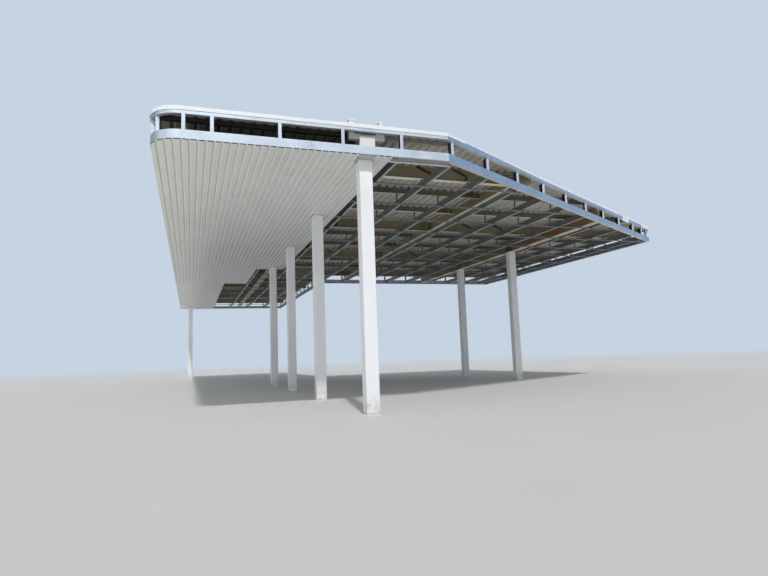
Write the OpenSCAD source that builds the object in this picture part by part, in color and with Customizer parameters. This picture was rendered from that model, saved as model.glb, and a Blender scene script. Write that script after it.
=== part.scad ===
// Filling station canopy with an open fascia frame and a partly clad ceiling.
// All sizes are in millimetres. X runs along the front edge, +Y runs away from it, +Z is up.
// Plan offsets are counted from the left edge and the front edge, and the origin is the
// centre of the plan at the feet of the columns.

/* [Plan] */
// Width of the wide front part
width = 18980; // [18500:10:20500]
// Depth of the wide front part
main_depth = 21000; // [20300:50:21400]
// Width of the narrow part behind it
tail_width = 8100; // [7700:50:8600]
// Where the slanted edge leaves the front edge
slant_start = 6370; // [6000:10:7200]
// How far the slanted edge runs back before it meets the right edge
slant_depth = 7130; // [6000:10:8000]
// Radius of the two rounded corners on the left
corner_r = 570; // [450:10:800]

/* [Columns] */
// Offset of the left row of columns
left_row_x = 4460; // [4200:10:4700]
// Offset of the right row of columns
right_row_x = 14320; // [13800:10:14800]
// Offset of the first column from the front edge
first_column_y = 430; // [400:10:600]
// Distance between columns along a row
column_pitch = 5000; // [4800:10:5150]
// Columns in the left row
left_row_count = 4; // [3:1:4]
// Outer size of the square column tube
column_size = 300; // [250:10:340]
// Wall of the column tube
column_wall = 10; // [6:1:16]
// Radius of the rounded edges of the column tube
column_edge_r = 20; // [18:1:30]
// Thickness of the plates that close a column
column_plate = 20; // [12:1:30]
// Offset of the two tail columns from the tail's long edges
tail_column_inset = 770; // [600:10:900]

/* [Levels] */
// Height of the underside of the ceiling sheets
ceiling_z = 5573; // [4800:1:6200]
// Depth of the main beams on the columns
main_beam_h = 590; // [560:1:640]
// Gap between the ceiling carriers and the main beams
beam_gap = 5; // [2:1:15]

/* [Beams] */
// Flange width of the main beams
main_beam_b = 300; // [240:5:320]
// Web and flange thickness of the main beams
main_beam_web = 13; // [8:1:18]
// Flange thickness of the main beams
main_beam_flange = 25; // [14:1:30]
// Depth of the cross beams
cross_beam_h = 360; // [300:5:380]
// Flange width of the cross beams
cross_beam_b = 170; // [130:5:200]
// Web thickness of the cross beams
cross_beam_web = 8; // [6:1:12]
// Flange thickness of the cross beams
cross_beam_flange = 13; // [8:1:18]
// Depth of the purlins
purlin_h = 180; // [140:5:220]
// Flange width of the purlins
purlin_b = 91; // [80:1:120]
// Web thickness of the purlins
purlin_web = 6; // [4:1:8]
// Flange thickness of the purlins
purlin_flange = 8; // [6:1:12]
// Offset of the first cross beam from the front edge
first_row_y = 2170; // [2000:10:2250]
// Offset of the last cross beam, on the tail columns, from the far edge
portal_setback = 1950; // [1700:10:2200]
// Distance between roof members, cross beam or purlin, fitted to whole bays
row_pitch = 1940; // [1880:10:2000]
// Every how many rows a cross beam stands in for a purlin
rows_per_cross_beam = 3; // [3:1:3]

/* [Column head] */
// How far each arm of the first column's head reaches out
arm_reach = 260; // [200:10:320]
// Depth and width of the head arms
arm_size = 150; // [120:5:160]
// Height of the channel that carries the front edge of the deck
eave_h = 85; // [50:5:100]
// Width of that channel
eave_b = 100; // [70:5:120]
// Wall of that channel
eave_wall = 5; // [4:1:8]
// Width of the nose plate in front of the column head
nose_b = 350; // [310:5:380]
// How far the nose plate's top lies below the top of the head
nose_setdown = 95; // [60:5:140]
// Thickness of the nose plate
nose_plate = 20; // [12:1:24]
// Side of the two short posts that stand on the head arms
stub_size = 100; // [70:5:120]
// Wall of the short posts
stub_wall = 5; // [4:1:8]
// Height of the short posts above the deck's top
stub_rise = 170; // [120:1:240]
// Thickness of the cap plates of the short posts
stub_cap = 8; // [5:1:12]
// Clearance round the short posts in the deck
stub_clearance = 15; // [5:1:30]

/* [Roof deck] */
// Height of the deck's ribs
deck_h = 46; // [40:1:58]
// Distance between the deck's ribs
deck_pitch = 235; // [200:1:300]
// Width of the deck's lower flats
deck_low = 120; // [90:1:130]
// Width of the deck's upper flats
deck_high = 60; // [40:1:70]
// Thickness of the deck sheet
deck_t = 3; // [2:0.5:5]
// Gap between the deck and the fascia's upstand
deck_gap = 55; // [2:1:60]

/* [Ceiling grid] */
// Offset of the first runner from the left edge
first_runner_x = 1175; // [1100:5:1250]
// Offset of the last runner from the right edge
last_runner_gap = 1605; // [1500:5:1800]
// Offset of the extra runner along the right edge
edge_runner_gap = 620; // [500:5:760]
// Distance between runners, and between fascia posts, fitted to whole spaces
runner_pitch = 1350; // [1300:5:1400]
// Depth of the runners
runner_h = 185; // [160:5:200]
// Flange width of the runners
runner_b = 60; // [50:1:70]
// Wall of the runners
runner_wall = 4; // [3:0.5:6]
// Side of the angle hangers between purlins and runners
hanger_size = 40; // [30:1:50]
// Wall of the angle hangers
hanger_wall = 5; // [4:1:6]
// Offset of the first carrier from the front edge
first_carrier_y = 170; // [160:10:200]
// Height of the carriers
carrier_h = 27; // [22:1:32]
// Width of a carrier's crown
carrier_crown = 40; // [30:1:50]
// Width of a carrier's brim
carrier_brim = 25; // [20:1:30]
// Wall of the carriers
carrier_wall = 3; // [2:0.5:4]
// Carriers under each ceiling sheet
carriers_per_sheet = 3; // [2:1:4]
// Clearance round the columns in the carriers and the ceiling sheets
column_clearance = 25; // [10:1:40]

/* [Ceiling sheets] */
// Length of a ceiling sheet
sheet_length = 5300; // [5250:10:5400]
// Cover width of a ceiling sheet
sheet_width = 1250; // [1240:1:1260]
// Ribs in a ceiling sheet
sheet_ribs = 8; // [6:1:10]
// Height of a ceiling sheet's ribs
sheet_h = 25; // [18:1:35]
// Width of a ceiling sheet's lower flats
sheet_low = 102; // [90:1:106]
// Width of a ceiling sheet's upper flats
sheet_high = 32; // [26:1:36]
// Thickness of a ceiling sheet
sheet_t = 3; // [2:0.5:4]
// How far the ceiling sheets end inside the fascia's face
sheet_inset = 4; // [0:1:20]
// Open joint between the ends of two ceiling sheets
sheet_joint = 2; // [1:0.5:6]

/* [Fascia] */
// Depth of the fascia frame, from its face inwards
frame_depth = 100; // [80:5:110]
// Wall of the fascia's folded members
frame_wall = 4; // [3:0.5:6]
// Height of the fascia's bottom channel
bottom_channel_h = 186; // [150:1:200]
// Height of the fascia's top channel, up to the deck
top_channel_h = 107; // [90:1:140]
// Height of the upstand above it, where it takes the coping
upstand_h = 46; // [40:1:55]
// Height of the upstand on the slanted, right, back and inner sides
open_upstand_h = 27; // [15:1:50]
// How far the top channel's lower edge drops along the slanted edge
top_channel_drop = 60; // [0:5:100]
// Width of the fascia's posts
post_b = 70; // [55:1:80]
// Depth of the posts that face the front on the slanted edge and the rounded corners
turned_post_depth = 60; // [50:1:65]
// Offset of the first post from the left edge
first_post_x = 635; // [620:5:700]
// Distance of the first post on the slanted edge from where that edge starts
first_slant_post = 185; // [120:5:400]
// Distance of the last post on the slanted edge from the right edge
last_post_gap = 710; // [600:10:900]
// Distance between posts on the edges that run along Y
side_post_pitch = 1350; // [1200:10:1500]

/* [Coping] */
// Height of the coping's face
coping_h = 83; // [60:1:100]
// How far the coping's face stands out from the fascia
coping_proud = 12; // [8:1:25]
// Width of the coping's top
coping_b = 90; // [70:5:120]
// Wall of the coping
coping_wall = 3; // [2:0.5:5]
// Length of coping that is fitted on the slanted edge next to the front
coping_start_length = 700; // [400:10:1200]
// Length of the loose coping piece near the far end of the slanted edge
coping_piece_length = 700; // [400:10:1000]
// Distance of that piece from the right corner
coping_piece_offset = 2400; // [1900:10:3000]
// Height of that piece's face
coping_piece_h = 260; // [150:5:280]
// Length of each leg of the coping piece at the right corner
coping_corner_length = 900; // [500:10:1200]
// Height of the corner piece's face
coping_corner_h = 180; // [120:5:200]

/* [Hidden] */
$fn = 48;

// Sheets wide that are fitted in each sheet length, counted from the front
sheets_fitted = [4, 4, 4, 3, 2, 2, 2];
length = len(sheets_fitted) * sheet_length;

// Play where pieces meet, and how far the posts stand inside the channels' edges
seat = 0.3;
post_inset = 1.5;

// Levels, from the ceiling up
carrier_z = ceiling_z + sheet_h;
runner_z = carrier_z + carrier_h;
runner_top = runner_z + runner_h;
beam_z = runner_z + beam_gap;
deck_z = beam_z + main_beam_h;
cross_beam_z = deck_z - cross_beam_h;
purlin_z = deck_z - purlin_h;
top_channel_z = deck_z - top_channel_h;
bottom_channel_top = carrier_z + bottom_channel_h;
upstand_top = deck_z + upstand_h;
coping_top = deck_z + max(upstand_h, deck_h) + seat + coping_wall;

// Roof members
portal_y = length - portal_setback;
portal_row = round((portal_y - first_row_y) / row_pitch);
fitted_row_pitch = (portal_y - first_row_y) / portal_row;
row_count = portal_row + 1;
middle_beam_x = (left_row_x + right_row_x) / 2;
head_z = deck_z - eave_h;
function row_y(k) = first_row_y + k * fitted_row_pitch;
function has_cross_beam(k) = k % rows_per_cross_beam == 0 || k == portal_row;
function in_main(k) = row_y(k) < main_depth - frame_depth;
main_rows = [for (k = [0:row_count - 1]) if (in_main(k)) k];
tail_rows = [for (k = [0:row_count - 1]) if (!in_main(k)) k];

// Runners, the long ones reach from the front edge to the far end
runner_span = width - last_runner_gap - first_runner_x;
runner_count = round(runner_span / runner_pitch);
runner_xs = concat([for (k = [0:runner_count]) first_runner_x + k * runner_span / runner_count],
    [width - edge_runner_gap]);
function is_long(x) = x + runner_b + frame_depth < tail_width - runner_b;

// Carriers
carrier_pitch = sheet_length / carriers_per_sheet;
carrier_ys = [for (y = [first_carrier_y:carrier_pitch:length - frame_depth]) y];

// Corner points of the plan, anticlockwise, with both ends of each rounded corner
outline = [[corner_r, 0], [slant_start, 0], [width, slant_depth], [width, main_depth],
    [tail_width, main_depth], [tail_width, length], [corner_r, length],
    [0, length - corner_r], [0, corner_r]];
near_corner = [corner_r, corner_r];
far_corner = [corner_r, length - corner_r];
FRONT = 0;
SLANT = 1;
RIGHT = 2;
BACK = 3;
INNER = 4;
FAR = 5;
LEFT = 7;

function unit(v) = v / norm(v);
function left_of(v) = [-v[1], v[0]];
function side(k) = outline[(k + 1) % len(outline)] - outline[k];
function inward(k) = left_of(unit(side(k)));
function is_rounded(k) = k == FAR + 1 || k == LEFT + 1;

// How corner k moves when the plan is moved in by 1, with the ends of rounded corners square
function corner_shift(k) =
    let (before = (k + len(outline) - 1) % len(outline),
         n1 = is_rounded(before) ? inward(k) : inward(before),
         n2 = is_rounded(k) ? inward(before) : inward(k))
    (n1 + n2) / (1 + n1 * n2);
function corner_point(k, d) = outline[k] + d * corner_shift(k);

// Places everything that is drawn by plan offsets
module placed() translate([-width / 2, -length / 2, 0]) children();

// Plan of the canopy, moved in by d
module plan(d = 0) {
    polygon([for (k = [0:len(outline) - 1]) corner_point(k, d)]);
    translate(near_corner) circle(corner_r - d);
    translate(far_corner) circle(corner_r - d);
}

module prism(d, z0, z1) translate([0, 0, z0]) linear_extrude(z1 - z0) plan(d);

module block(x0, x1, y0, y1, z0, z1) translate([x0, y0, z0]) cube([x1 - x0, y1 - y0, z1 - z0]);

// Sections, drawn with the width along X and standing on Y = 0
module i_section(h, b, web, flange) polygon([
    [-b / 2, 0], [b / 2, 0], [b / 2, flange], [web / 2, flange],
    [web / 2, h - flange], [b / 2, h - flange], [b / 2, h], [-b / 2, h],
    [-b / 2, h - flange], [-web / 2, h - flange], [-web / 2, flange], [-b / 2, flange]]);

module c_section(h, b, wall) polygon([
    [0, 0], [b, 0], [b, wall], [wall, wall],
    [wall, h - wall], [b, h - wall], [b, h], [0, h]]);

module hat_section(h, crown, brim, wall) {
    foot = crown / 2 + brim;
    polygon([[-foot, 0], [-crown / 2 + wall, 0], [-crown / 2 + wall, h - wall],
        [crown / 2 - wall, h - wall], [crown / 2 - wall, 0], [foot, 0], [foot, wall],
        [crown / 2, wall], [crown / 2, h], [-crown / 2, h], [-crown / 2, wall], [-foot, wall]]);
}

// Ribbed sheet, with the ribs along the direction in which it is extruded
module ribbed_section(ribs, pitch, h, low, high, t) {
    slope = (pitch - low - high) / 2;
    steps = [[0, 0], [low, 0], [low + slope, h - t], [low + slope + high, h - t]];
    path = concat([for (k = [0:ribs - 1]) for (s = steps) [k * pitch + s[0], s[1]]],
        [[ribs * pitch, 0]]);
    polygon(concat(path, [for (k = [len(path) - 1:-1:0]) path[k] + [0, t]]));
}

module along_x(x0, x1, y, z)
    translate([x0, y, z]) rotate([90, 0, 90]) linear_extrude(x1 - x0) children();

module along_y(x, y0, y1, z)
    translate([x, y1, z]) rotate([90, 0, 0]) linear_extrude(y1 - y0) children();

// Columns
module rounded_square(size, r) {
    square([size, size - 2 * r], center = true);
    square([size - 2 * r, size], center = true);
    for (x = [-1, 1]) for (y = [-1, 1]) translate([x, y] * (size / 2 - r)) circle(r);
}

module square_tube(x, y, size, wall, r, z0, z1, plate) translate([x, y, z0]) difference() {
    linear_extrude(z1 - z0) rounded_square(size, r);
    translate([0, 0, plate]) linear_extrude(z1 - z0 - 2 * plate)
        rounded_square(size - 2 * wall, r - wall);
}

module column(x, y, top) color("white") placed()
    square_tube(x, y, column_size, column_wall, column_edge_r, 0, top, column_plate);

function column_y(k) = first_column_y + k * column_pitch;
column_places = concat(
    [for (k = [0:left_row_count - 1]) [left_row_x, column_y(k)]],
    [for (k = [2:3]) [right_row_x, column_y(k)]],
    [for (x = [tail_column_inset, tail_width - tail_column_inset]) [x, row_y(portal_row)]]);

module left_column(k) column(left_row_x, column_y(k - 1), k == 1 ? head_z : beam_z);
module right_column(k) column(right_row_x, column_y(k + 1), beam_z);
module tail_column(x) column(x, row_y(portal_row), cross_beam_z);

module column_clearances(z0, z1) for (p = column_places) {
    r = column_size / 2 + column_clearance;
    block(p[0] - r, p[0] + r, p[1] - r, p[1] + r, z0, z1);
}

// Main beams
module left_main_section() i_section(main_beam_h, main_beam_b, main_beam_web, main_beam_flange);
module cross_section() i_section(cross_beam_h, cross_beam_b, cross_beam_web, cross_beam_flange);
module purlin_section() i_section(purlin_h, purlin_b, purlin_web, purlin_flange);

module left_main_solid() along_y(left_row_x, first_column_y + column_size / 2,
    row_y(portal_row) - cross_beam_b / 2, beam_z) left_main_section();
module right_main_solid() intersection() {
    along_y(right_row_x, 0, main_depth, beam_z) left_main_section();
    prism(frame_depth + seat, beam_z - 1, deck_z + 1);
}
module middle_solid() intersection() {
    along_y(middle_beam_x, row_y(0), main_depth, cross_beam_z) cross_section();
    prism(frame_depth + seat, cross_beam_z - 1, deck_z + 1);
}

module left_main_beam() color("antiquewhite") placed() left_main_solid();
module right_main_beam() color("antiquewhite") placed() right_main_solid();
module middle_beam() color("antiquewhite") placed() middle_solid();

// Cross beams and purlins are coped to the webs of the beams that they meet
module coped_rows(rows, x1) color("antiquewhite") placed() difference() {
    intersection() {
        for (k = rows)
            if (has_cross_beam(k)) along_x(0, x1, row_y(k), cross_beam_z) cross_section();
            else along_x(0, x1, row_y(k), purlin_z) purlin_section();
        prism(frame_depth + seat, cross_beam_z - 1, deck_z + 1);
    }
    left_main_solid();
    if (x1 > middle_beam_x) {
        right_main_solid();
        middle_solid();
    }
}

module cross_beams() coped_rows([for (k = main_rows) if (has_cross_beam(k)) k], width);
module tail_cross_beams() coped_rows([for (k = tail_rows) if (has_cross_beam(k)) k], tail_width);
module purlins() coped_rows([for (k = main_rows) if (!has_cross_beam(k)) k], width);
module tail_purlins() coped_rows([for (k = tail_rows) if (!has_cross_beam(k)) k], tail_width);

// Head of the first column
head_y = first_column_y - column_size / 2;
arm_y = head_y - arm_size / 2;
nose_top = head_z - nose_setdown;
stub_offset = column_size / 2 + arm_reach - stub_size / 2 - stub_clearance;

module column_head_arms() color("antiquewhite") placed() {
    arm_end = column_size / 2 + arm_reach;
    along_x(left_row_x - arm_end, left_row_x + arm_end, arm_y, head_z - arm_size)
        i_section(arm_size, arm_size, column_wall, column_wall);
    along_y(left_row_x, head_y - arm_size, head_y, beam_z)
        i_section(head_z - arm_size - beam_z, main_beam_b, main_beam_web, main_beam_flange);
    block(left_row_x - nose_b / 2, left_row_x + nose_b / 2,
        head_y - arm_size - nose_plate, head_y - arm_size, beam_z, nose_top);
}

module roof_stub_posts() color("white") placed() for (s = [-1, 1])
    square_tube(left_row_x + s * stub_offset, arm_y, stub_size, stub_wall, 2 * stub_wall, head_z,
        deck_z + deck_h + stub_rise, stub_cap);

module eave_channel() color("antiquewhite") placed() intersection() {
    along_x(0, width, first_column_y, head_z) c_section(eave_h, eave_b, eave_wall);
    prism(frame_depth + seat, head_z - 1, deck_z + 1);
}

// Roof deck
module deck(x1, y0, y1) color("tan") placed() difference() {
    intersection() {
        along_y(0, y0, y1, deck_z)
            ribbed_section(ceil(x1 / deck_pitch), deck_pitch, deck_h, deck_low, deck_high, deck_t);
        prism(frame_wall + deck_gap, deck_z - 1, deck_z + deck_h + 1);
    }
    for (s = [-1, 1]) {
        r = stub_size / 2 + stub_clearance;
        x = left_row_x + s * stub_offset;
        block(x - r, x + r, arm_y - r, arm_y + r, deck_z - 1, deck_z + deck_h + 1);
    }
}

module roof_deck() deck(width, 0, main_depth);
module tail_roof_deck() deck(tail_width, main_depth, length);

// Ceiling grid
module runner(x, y1) intersection() {
    along_y(x, 0, y1, runner_z) c_section(runner_h, runner_b, runner_wall);
    prism(frame_depth + seat, runner_z - 1, runner_top + 1);
}

module long_runners() color("lightsteelblue") placed()
    for (x = runner_xs) if (is_long(x)) runner(x, length);
module short_runners() color("lightsteelblue") placed()
    for (x = runner_xs) if (!is_long(x)) runner(x, main_depth);

// How far the slanted edge lets a member at y reach to the right
function right_end(y) = y > slant_depth ? width
    : slant_start + y * (width - slant_start) / slant_depth;
function is_under_middle_beam(x) =
    abs(x + runner_b / 2 - middle_beam_x) < (cross_beam_b + hanger_size) / 2;
function hanger_fits(x, k) = in_main(k)
    ? x + runner_b + 2 * frame_depth < right_end(row_y(k) - frame_depth)
    : is_long(x);

module runner_hangers() color("slategray") placed()
    for (k = [0:row_count - 1]) for (x = runner_xs) if (hanger_fits(x, k)) {
        top = has_cross_beam(k) || is_under_middle_beam(x) ? cross_beam_z : purlin_z;
        translate([x + (runner_b - hanger_size) / 2, row_y(k) - hanger_size / 2, runner_top])
            linear_extrude(top - runner_top) difference() {
                square(hanger_size);
                translate([hanger_wall, hanger_wall]) square(hanger_size);
            }
    }

module carriers(ys, x1) color("lightgray") placed() difference() {
    intersection() {
        for (y = ys) along_x(0, x1, y, carrier_z)
            hat_section(carrier_h, carrier_crown, carrier_brim, carrier_wall);
        prism(frame_depth + seat, carrier_z - 1, carrier_z + carrier_h + 1);
    }
    column_clearances(carrier_z - 1, carrier_z + carrier_h + 1);
}

module ceiling_carriers()
    carriers([for (y = carrier_ys) if (y < main_depth - frame_depth) y], width);
module tail_ceiling_carriers()
    carriers([for (y = carrier_ys) if (y >= main_depth - frame_depth) y], tail_width);

// One sheet length of the ceiling, as many sheets wide as are fitted there
module ceiling_sheets(row) color("whitesmoke") placed() difference() {
    intersection() {
        along_y(0, (row - 1) * sheet_length, row * sheet_length - sheet_joint, ceiling_z)
            ribbed_section(sheets_fitted[row - 1] * sheet_ribs, sheet_width / sheet_ribs,
                sheet_h, sheet_low, sheet_high, sheet_t);
        prism(sheet_inset, ceiling_z - 1, carrier_z + 1);
    }
    column_clearances(ceiling_z - 1, carrier_z + 1);
}

// Places children at one straight side, with X along it and Y inwards
module on_side(k) translate(outline[k])
    rotate(atan2(side(k)[1], side(k)[0])) children();

// Cuts what runs along side k to the mitres at its ends, between the offsets d0 and d1
module mitred(k, d0, d1, z0, z1) {
    u = unit(side(k));
    lean0 = corner_shift(k) * u;
    lean1 = corner_shift((k + 1) % len(outline)) * u;
    end = side_length(k) - seat / 2;
    intersection() {
        union() children();
        translate([0, 0, z0 - 1]) linear_extrude(z1 - z0 + 2) polygon([
            [seat / 2 + lean0 * d0, d0], [end + lean1 * d0, d0],
            [end + lean1 * d1, d1], [seat / 2 + lean0 * d1, d1]]);
    }
}

module bar(k, d0, d1, z0, z1)
    block(-frame_depth, side_length(k) + frame_depth, d0, d1, z0, z1);

// A bar whose ends lie at different heights, with upright ends
module leaning_bar(k, d0, d1, z, z1, h0, h1) translate([0, d1]) rotate([90, 0, 0])
    linear_extrude(d1 - d0) {
        n = side_length(k);
        slope = (z1 - z) / n;
        m = frame_depth;
        polygon([[-m, z - m * slope], [n + m, z1 + m * slope],
            [n + m, z1 + m * slope + h1], [-m, z - m * slope + h0]]);
    }

// Height of the top channel's lower edge at corner k, and at s along side k
function is_open(k) = k >= SLANT && k <= INNER;
function top_z(k) = top_channel_z - (k >= RIGHT && k <= INNER ? top_channel_drop : 0);
function top_z_at(k, s) = top_z(k) + (top_z((k + 1) % len(outline)) - top_z(k)) * s / side_length(k);

module fascia_rails(k) mitred(k, -1, frame_depth + 1, carrier_z, upstand_top) {
    z0 = top_z(k);
    z1 = top_z((k + 1) % len(outline));
    bar(k, 0, frame_wall, carrier_z, bottom_channel_top);
    bar(k, 0, frame_depth, carrier_z, carrier_z + frame_wall);
    bar(k, 0, frame_depth, bottom_channel_top - frame_wall, bottom_channel_top);
    bar(k, 0, frame_wall, top_channel_z + frame_wall / 2, deck_z + (is_open(k) ? open_upstand_h : upstand_h));
    leaning_bar(k, 0, frame_wall, z0, z1, top_channel_z - z0 + frame_wall, top_channel_z - z1 + frame_wall);
    leaning_bar(k, 0, frame_depth, z0, z1, frame_wall, frame_wall);
    bar(k, 0, frame_depth, deck_z - frame_wall, deck_z);
}

// Post of a folded channel, open to the inside, that stands between the two channels
module post(depth = frame_depth - 2 * post_inset, top = top_channel_z)
    translate([-post_b / 2, post_inset, bottom_channel_top])
        linear_extrude(top - bottom_channel_top) difference() {
            square([post_b, depth]);
            translate([frame_wall, frame_wall]) square([post_b - 2 * frame_wall, frame_depth]);
        }
// The same, facing the front wherever it stands, with the middle of its plan at the origin
module turned_post(top = top_channel_z)
    translate([0, -turned_post_depth / 2 - post_inset]) post(turned_post_depth, top);

// The fascia frame along side k, with a post at each distance in posts
module fascia_side(k, posts) color("lightsteelblue") placed() on_side(k) {
    fascia_rails(k);
    for (s = posts) translate([s, 0]) post(top = top_z_at(k, s) + frame_wall / 2);
}

function side_length(k) = norm(side(k));
function even_posts(k) =
    let (clear = side_length(k) - 2 * frame_depth, n = ceil(clear / side_post_pitch))
    [for (i = [0:n]) frame_depth + i * clear / n];

// Posts on the front, slanted, back and far sides stand in line with the runners
front_posts = concat([first_post_x - corner_r], [for (x = runner_xs)
    if (x > first_post_x + 2 * post_b && x + post_b < slant_start) x - corner_r]);
slant_post_xs = concat([slant_start + first_slant_post],
    [for (k = [0:runner_count]) if (runner_xs[k] > slant_start + runner_pitch / 2) runner_xs[k] - post_b / 3],
    [width - last_post_gap]);
function slant_s(x) = (x - slant_start) * side_length(SLANT) / (width - slant_start);
back_posts = [for (x = runner_xs) if (x > tail_width) width - x];
far_posts = [for (x = runner_xs) if (is_long(x)) tail_width - x];

module fascia_front() fascia_side(FRONT, front_posts);
module fascia_slant() color("lightsteelblue") placed() {
    on_side(SLANT) fascia_rails(SLANT);
    for (x = slant_post_xs) {
        p = outline[SLANT] + slant_s(x) * unit(side(SLANT)) + inward(SLANT) * frame_depth / 2;
        translate(p) turned_post(top_z_at(SLANT, slant_s(x)) + frame_wall / 2);
    }
}
module fascia_right() fascia_side(RIGHT, even_posts(RIGHT));
module fascia_back() fascia_side(BACK, back_posts);
module fascia_inner() fascia_side(INNER, even_posts(INNER));
module fascia_far() fascia_side(FAR, far_posts);
module fascia_left() fascia_side(LEFT, even_posts(LEFT));

// Fascia frame round a rounded corner, which starts at angle a
module ring_part(a, r0, r1, z0, z1)
    rotate(a) translate([0, 0, z0]) rotate_extrude(angle = 90, $fn = 96)
        translate([r0, 0]) square([r1 - r0, z1 - z0]);

// Posts on a rounded corner, as angles from the left edge towards the front or far edge
corner_post_angles = [8, 36];

module fascia_corner(centre, a) color("lightsteelblue") placed() translate(centre) {
    inner = corner_r - frame_depth;
    skin = corner_r - frame_wall;
    ring_part(a, skin, corner_r, carrier_z, bottom_channel_top);
    ring_part(a, inner, corner_r, carrier_z, carrier_z + frame_wall);
    ring_part(a, inner, corner_r, bottom_channel_top - frame_wall, bottom_channel_top);
    ring_part(a, skin, corner_r, top_channel_z, upstand_top);
    ring_part(a, inner, corner_r, top_channel_z, top_channel_z + frame_wall);
    ring_part(a, inner, corner_r, deck_z - frame_wall, deck_z);
    for (b = corner_post_angles)
        translate((corner_r - frame_depth / 2) * [-cos(b), a == 180 ? -sin(b) : sin(b)]) turned_post();
}

module fascia_near_corner() fascia_corner(near_corner, 180);
module fascia_far_corner() fascia_corner(far_corner, 90);

// Coping, a folded cap over the upstand
coping_z = coping_top - coping_h;

module coping_run(k, s0, s1, h = coping_h) on_side(k)
    mitred(k, -coping_proud - 1, coping_b, coping_top - h, coping_top) {
        block(s0, s1, -coping_proud, coping_wall - coping_proud, coping_top - h, coping_top);
        block(s0, s1, -coping_proud, coping_b - coping_proud, coping_top - coping_wall, coping_top);
    }
module coping_strip(k) coping_run(k, -coping_b, side_length(k) + coping_b);

module coping_corner(centre, a) translate(centre) {
    outer = corner_r + coping_proud;
    ring_part(a, outer - coping_wall, outer, coping_z, coping_top);
    ring_part(a, outer - coping_b, outer, coping_top - coping_wall, coping_top);
}

module coping_front() color("white") placed() {
    coping_corner(near_corner, 180);
    coping_strip(FRONT);
    coping_run(SLANT, -coping_b, coping_start_length);
}

module coping_left() color("white") placed() {
    coping_corner(far_corner, 90);
    coping_strip(LEFT);
}

module coping_far() color("white") placed() coping_strip(FAR);

module coping_pieces() color("white") placed() {
    end = side_length(SLANT);
    piece_end = end - coping_piece_offset;
    coping_run(SLANT, piece_end - coping_piece_length, piece_end, coping_piece_h);
    coping_run(SLANT, end - coping_corner_length, end + coping_b, coping_corner_h);
    coping_run(RIGHT, -coping_b, coping_corner_length, coping_corner_h);
}

left_column(1);  // left_column_1
left_column(2);  // left_column_2
left_column(3);  // left_column_3
left_column(4);  // left_column_4
right_column(1);  // right_column_1
right_column(2);  // right_column_2
tail_column(tail_column_inset);  // tail_column_left
tail_column(tail_width - tail_column_inset);  // tail_column_right
left_main_beam();
right_main_beam();
middle_beam();
cross_beams();
tail_cross_beams();
purlins();
tail_purlins();
column_head_arms();
roof_stub_posts();
eave_channel();
roof_deck();
tail_roof_deck();
long_runners();
short_runners();
runner_hangers();
ceiling_carriers();
tail_ceiling_carriers();
ceiling_sheets(1);  // ceiling_sheets_1
ceiling_sheets(2);  // ceiling_sheets_2
ceiling_sheets(3);  // ceiling_sheets_3
ceiling_sheets(4);  // ceiling_sheets_4
ceiling_sheets(5);  // ceiling_sheets_5
ceiling_sheets(6);  // ceiling_sheets_6
ceiling_sheets(7);  // ceiling_sheets_7
fascia_front();
fascia_slant();
fascia_right();
fascia_back();
fascia_inner();
fascia_far();
fascia_left();
fascia_near_corner();
fascia_far_corner();
coping_front();
coping_left();
coping_far();
coping_pieces();
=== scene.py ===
import random
from math import cos, hypot, pi, radians, sin, sqrt

import bmesh
import bpy
import numpy as np
from mathutils import Matrix, Vector


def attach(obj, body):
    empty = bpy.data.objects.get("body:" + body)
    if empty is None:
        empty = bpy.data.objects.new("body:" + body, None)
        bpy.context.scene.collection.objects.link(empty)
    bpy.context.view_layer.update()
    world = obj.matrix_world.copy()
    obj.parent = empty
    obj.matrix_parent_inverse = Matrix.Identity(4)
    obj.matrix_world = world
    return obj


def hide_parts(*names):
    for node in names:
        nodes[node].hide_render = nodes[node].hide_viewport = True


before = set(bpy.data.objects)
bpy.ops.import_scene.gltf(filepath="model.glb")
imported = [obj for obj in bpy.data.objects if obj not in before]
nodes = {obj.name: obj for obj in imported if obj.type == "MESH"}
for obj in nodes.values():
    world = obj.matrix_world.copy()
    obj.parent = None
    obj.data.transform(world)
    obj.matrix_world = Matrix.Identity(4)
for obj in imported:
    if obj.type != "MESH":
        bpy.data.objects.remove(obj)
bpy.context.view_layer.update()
random.seed(7)

# Sizes in metres, as plan offsets from the left and the front edge
WIDTH, MAIN, TAIL, KINK_X, SLANT_Y, LENGTH = 18.98, 21.0, 8.1, 6.37, 7.13, 37.1
CORNER = 0.57
CEILING, CARRIER, RUNNER, RUNNER_TOP = 5.573, 5.598, 5.625, 5.810
BEAM, DECK, CROSS, PURLIN = 5.630, 6.220, 5.860, 6.040
TOP_CHANNEL, BOTTOM_TOP, OPEN_UPSTAND, COPING = 6.113, 5.784, 6.247, 6.2693
DROP, DECK_EDGE, POST, FRAME = 0.06, 0.060, 0.07, 0.1
UP, DOWN = (0, 0, 1), (0, 0, -1)
COPING_H, COPING_LENGTH = 0.083, 3.0
MAIN_WEB, MAIN_HALF, CROSS_WEB, CROSS_HALF = 0.013, 0.15, 0.008, 0.085
ROWS = [2.17 + 1.94 * k for k in range(18)]
CROSS_ROWS = [k for k in range(18) if k % 3 == 0 or k == 17]
RUNNERS = [1.175 + 1.35 * k for k in range(13)] + [18.36]
SHEET, COVER = 5.3, 1.25
CARRIERS = [0.17 + SHEET / 3 * k for k in range(21)]
LEFT_X, RIGHT_X, MIDDLE_X = 4.46, 14.32, 9.39
COLUMNS = [(LEFT_X, 0.43 + 5 * k) for k in range(4)] + [(RIGHT_X, 10.43), (RIGHT_X, 15.43)]
TAIL_COLUMNS = [(0.77, 35.15), (7.33, 35.15)]
FITTED = [4, 4, 4, 3, 2, 2, 2]
RIB, FLAT_MIDDLE = COVER / 8, 0.052
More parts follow.
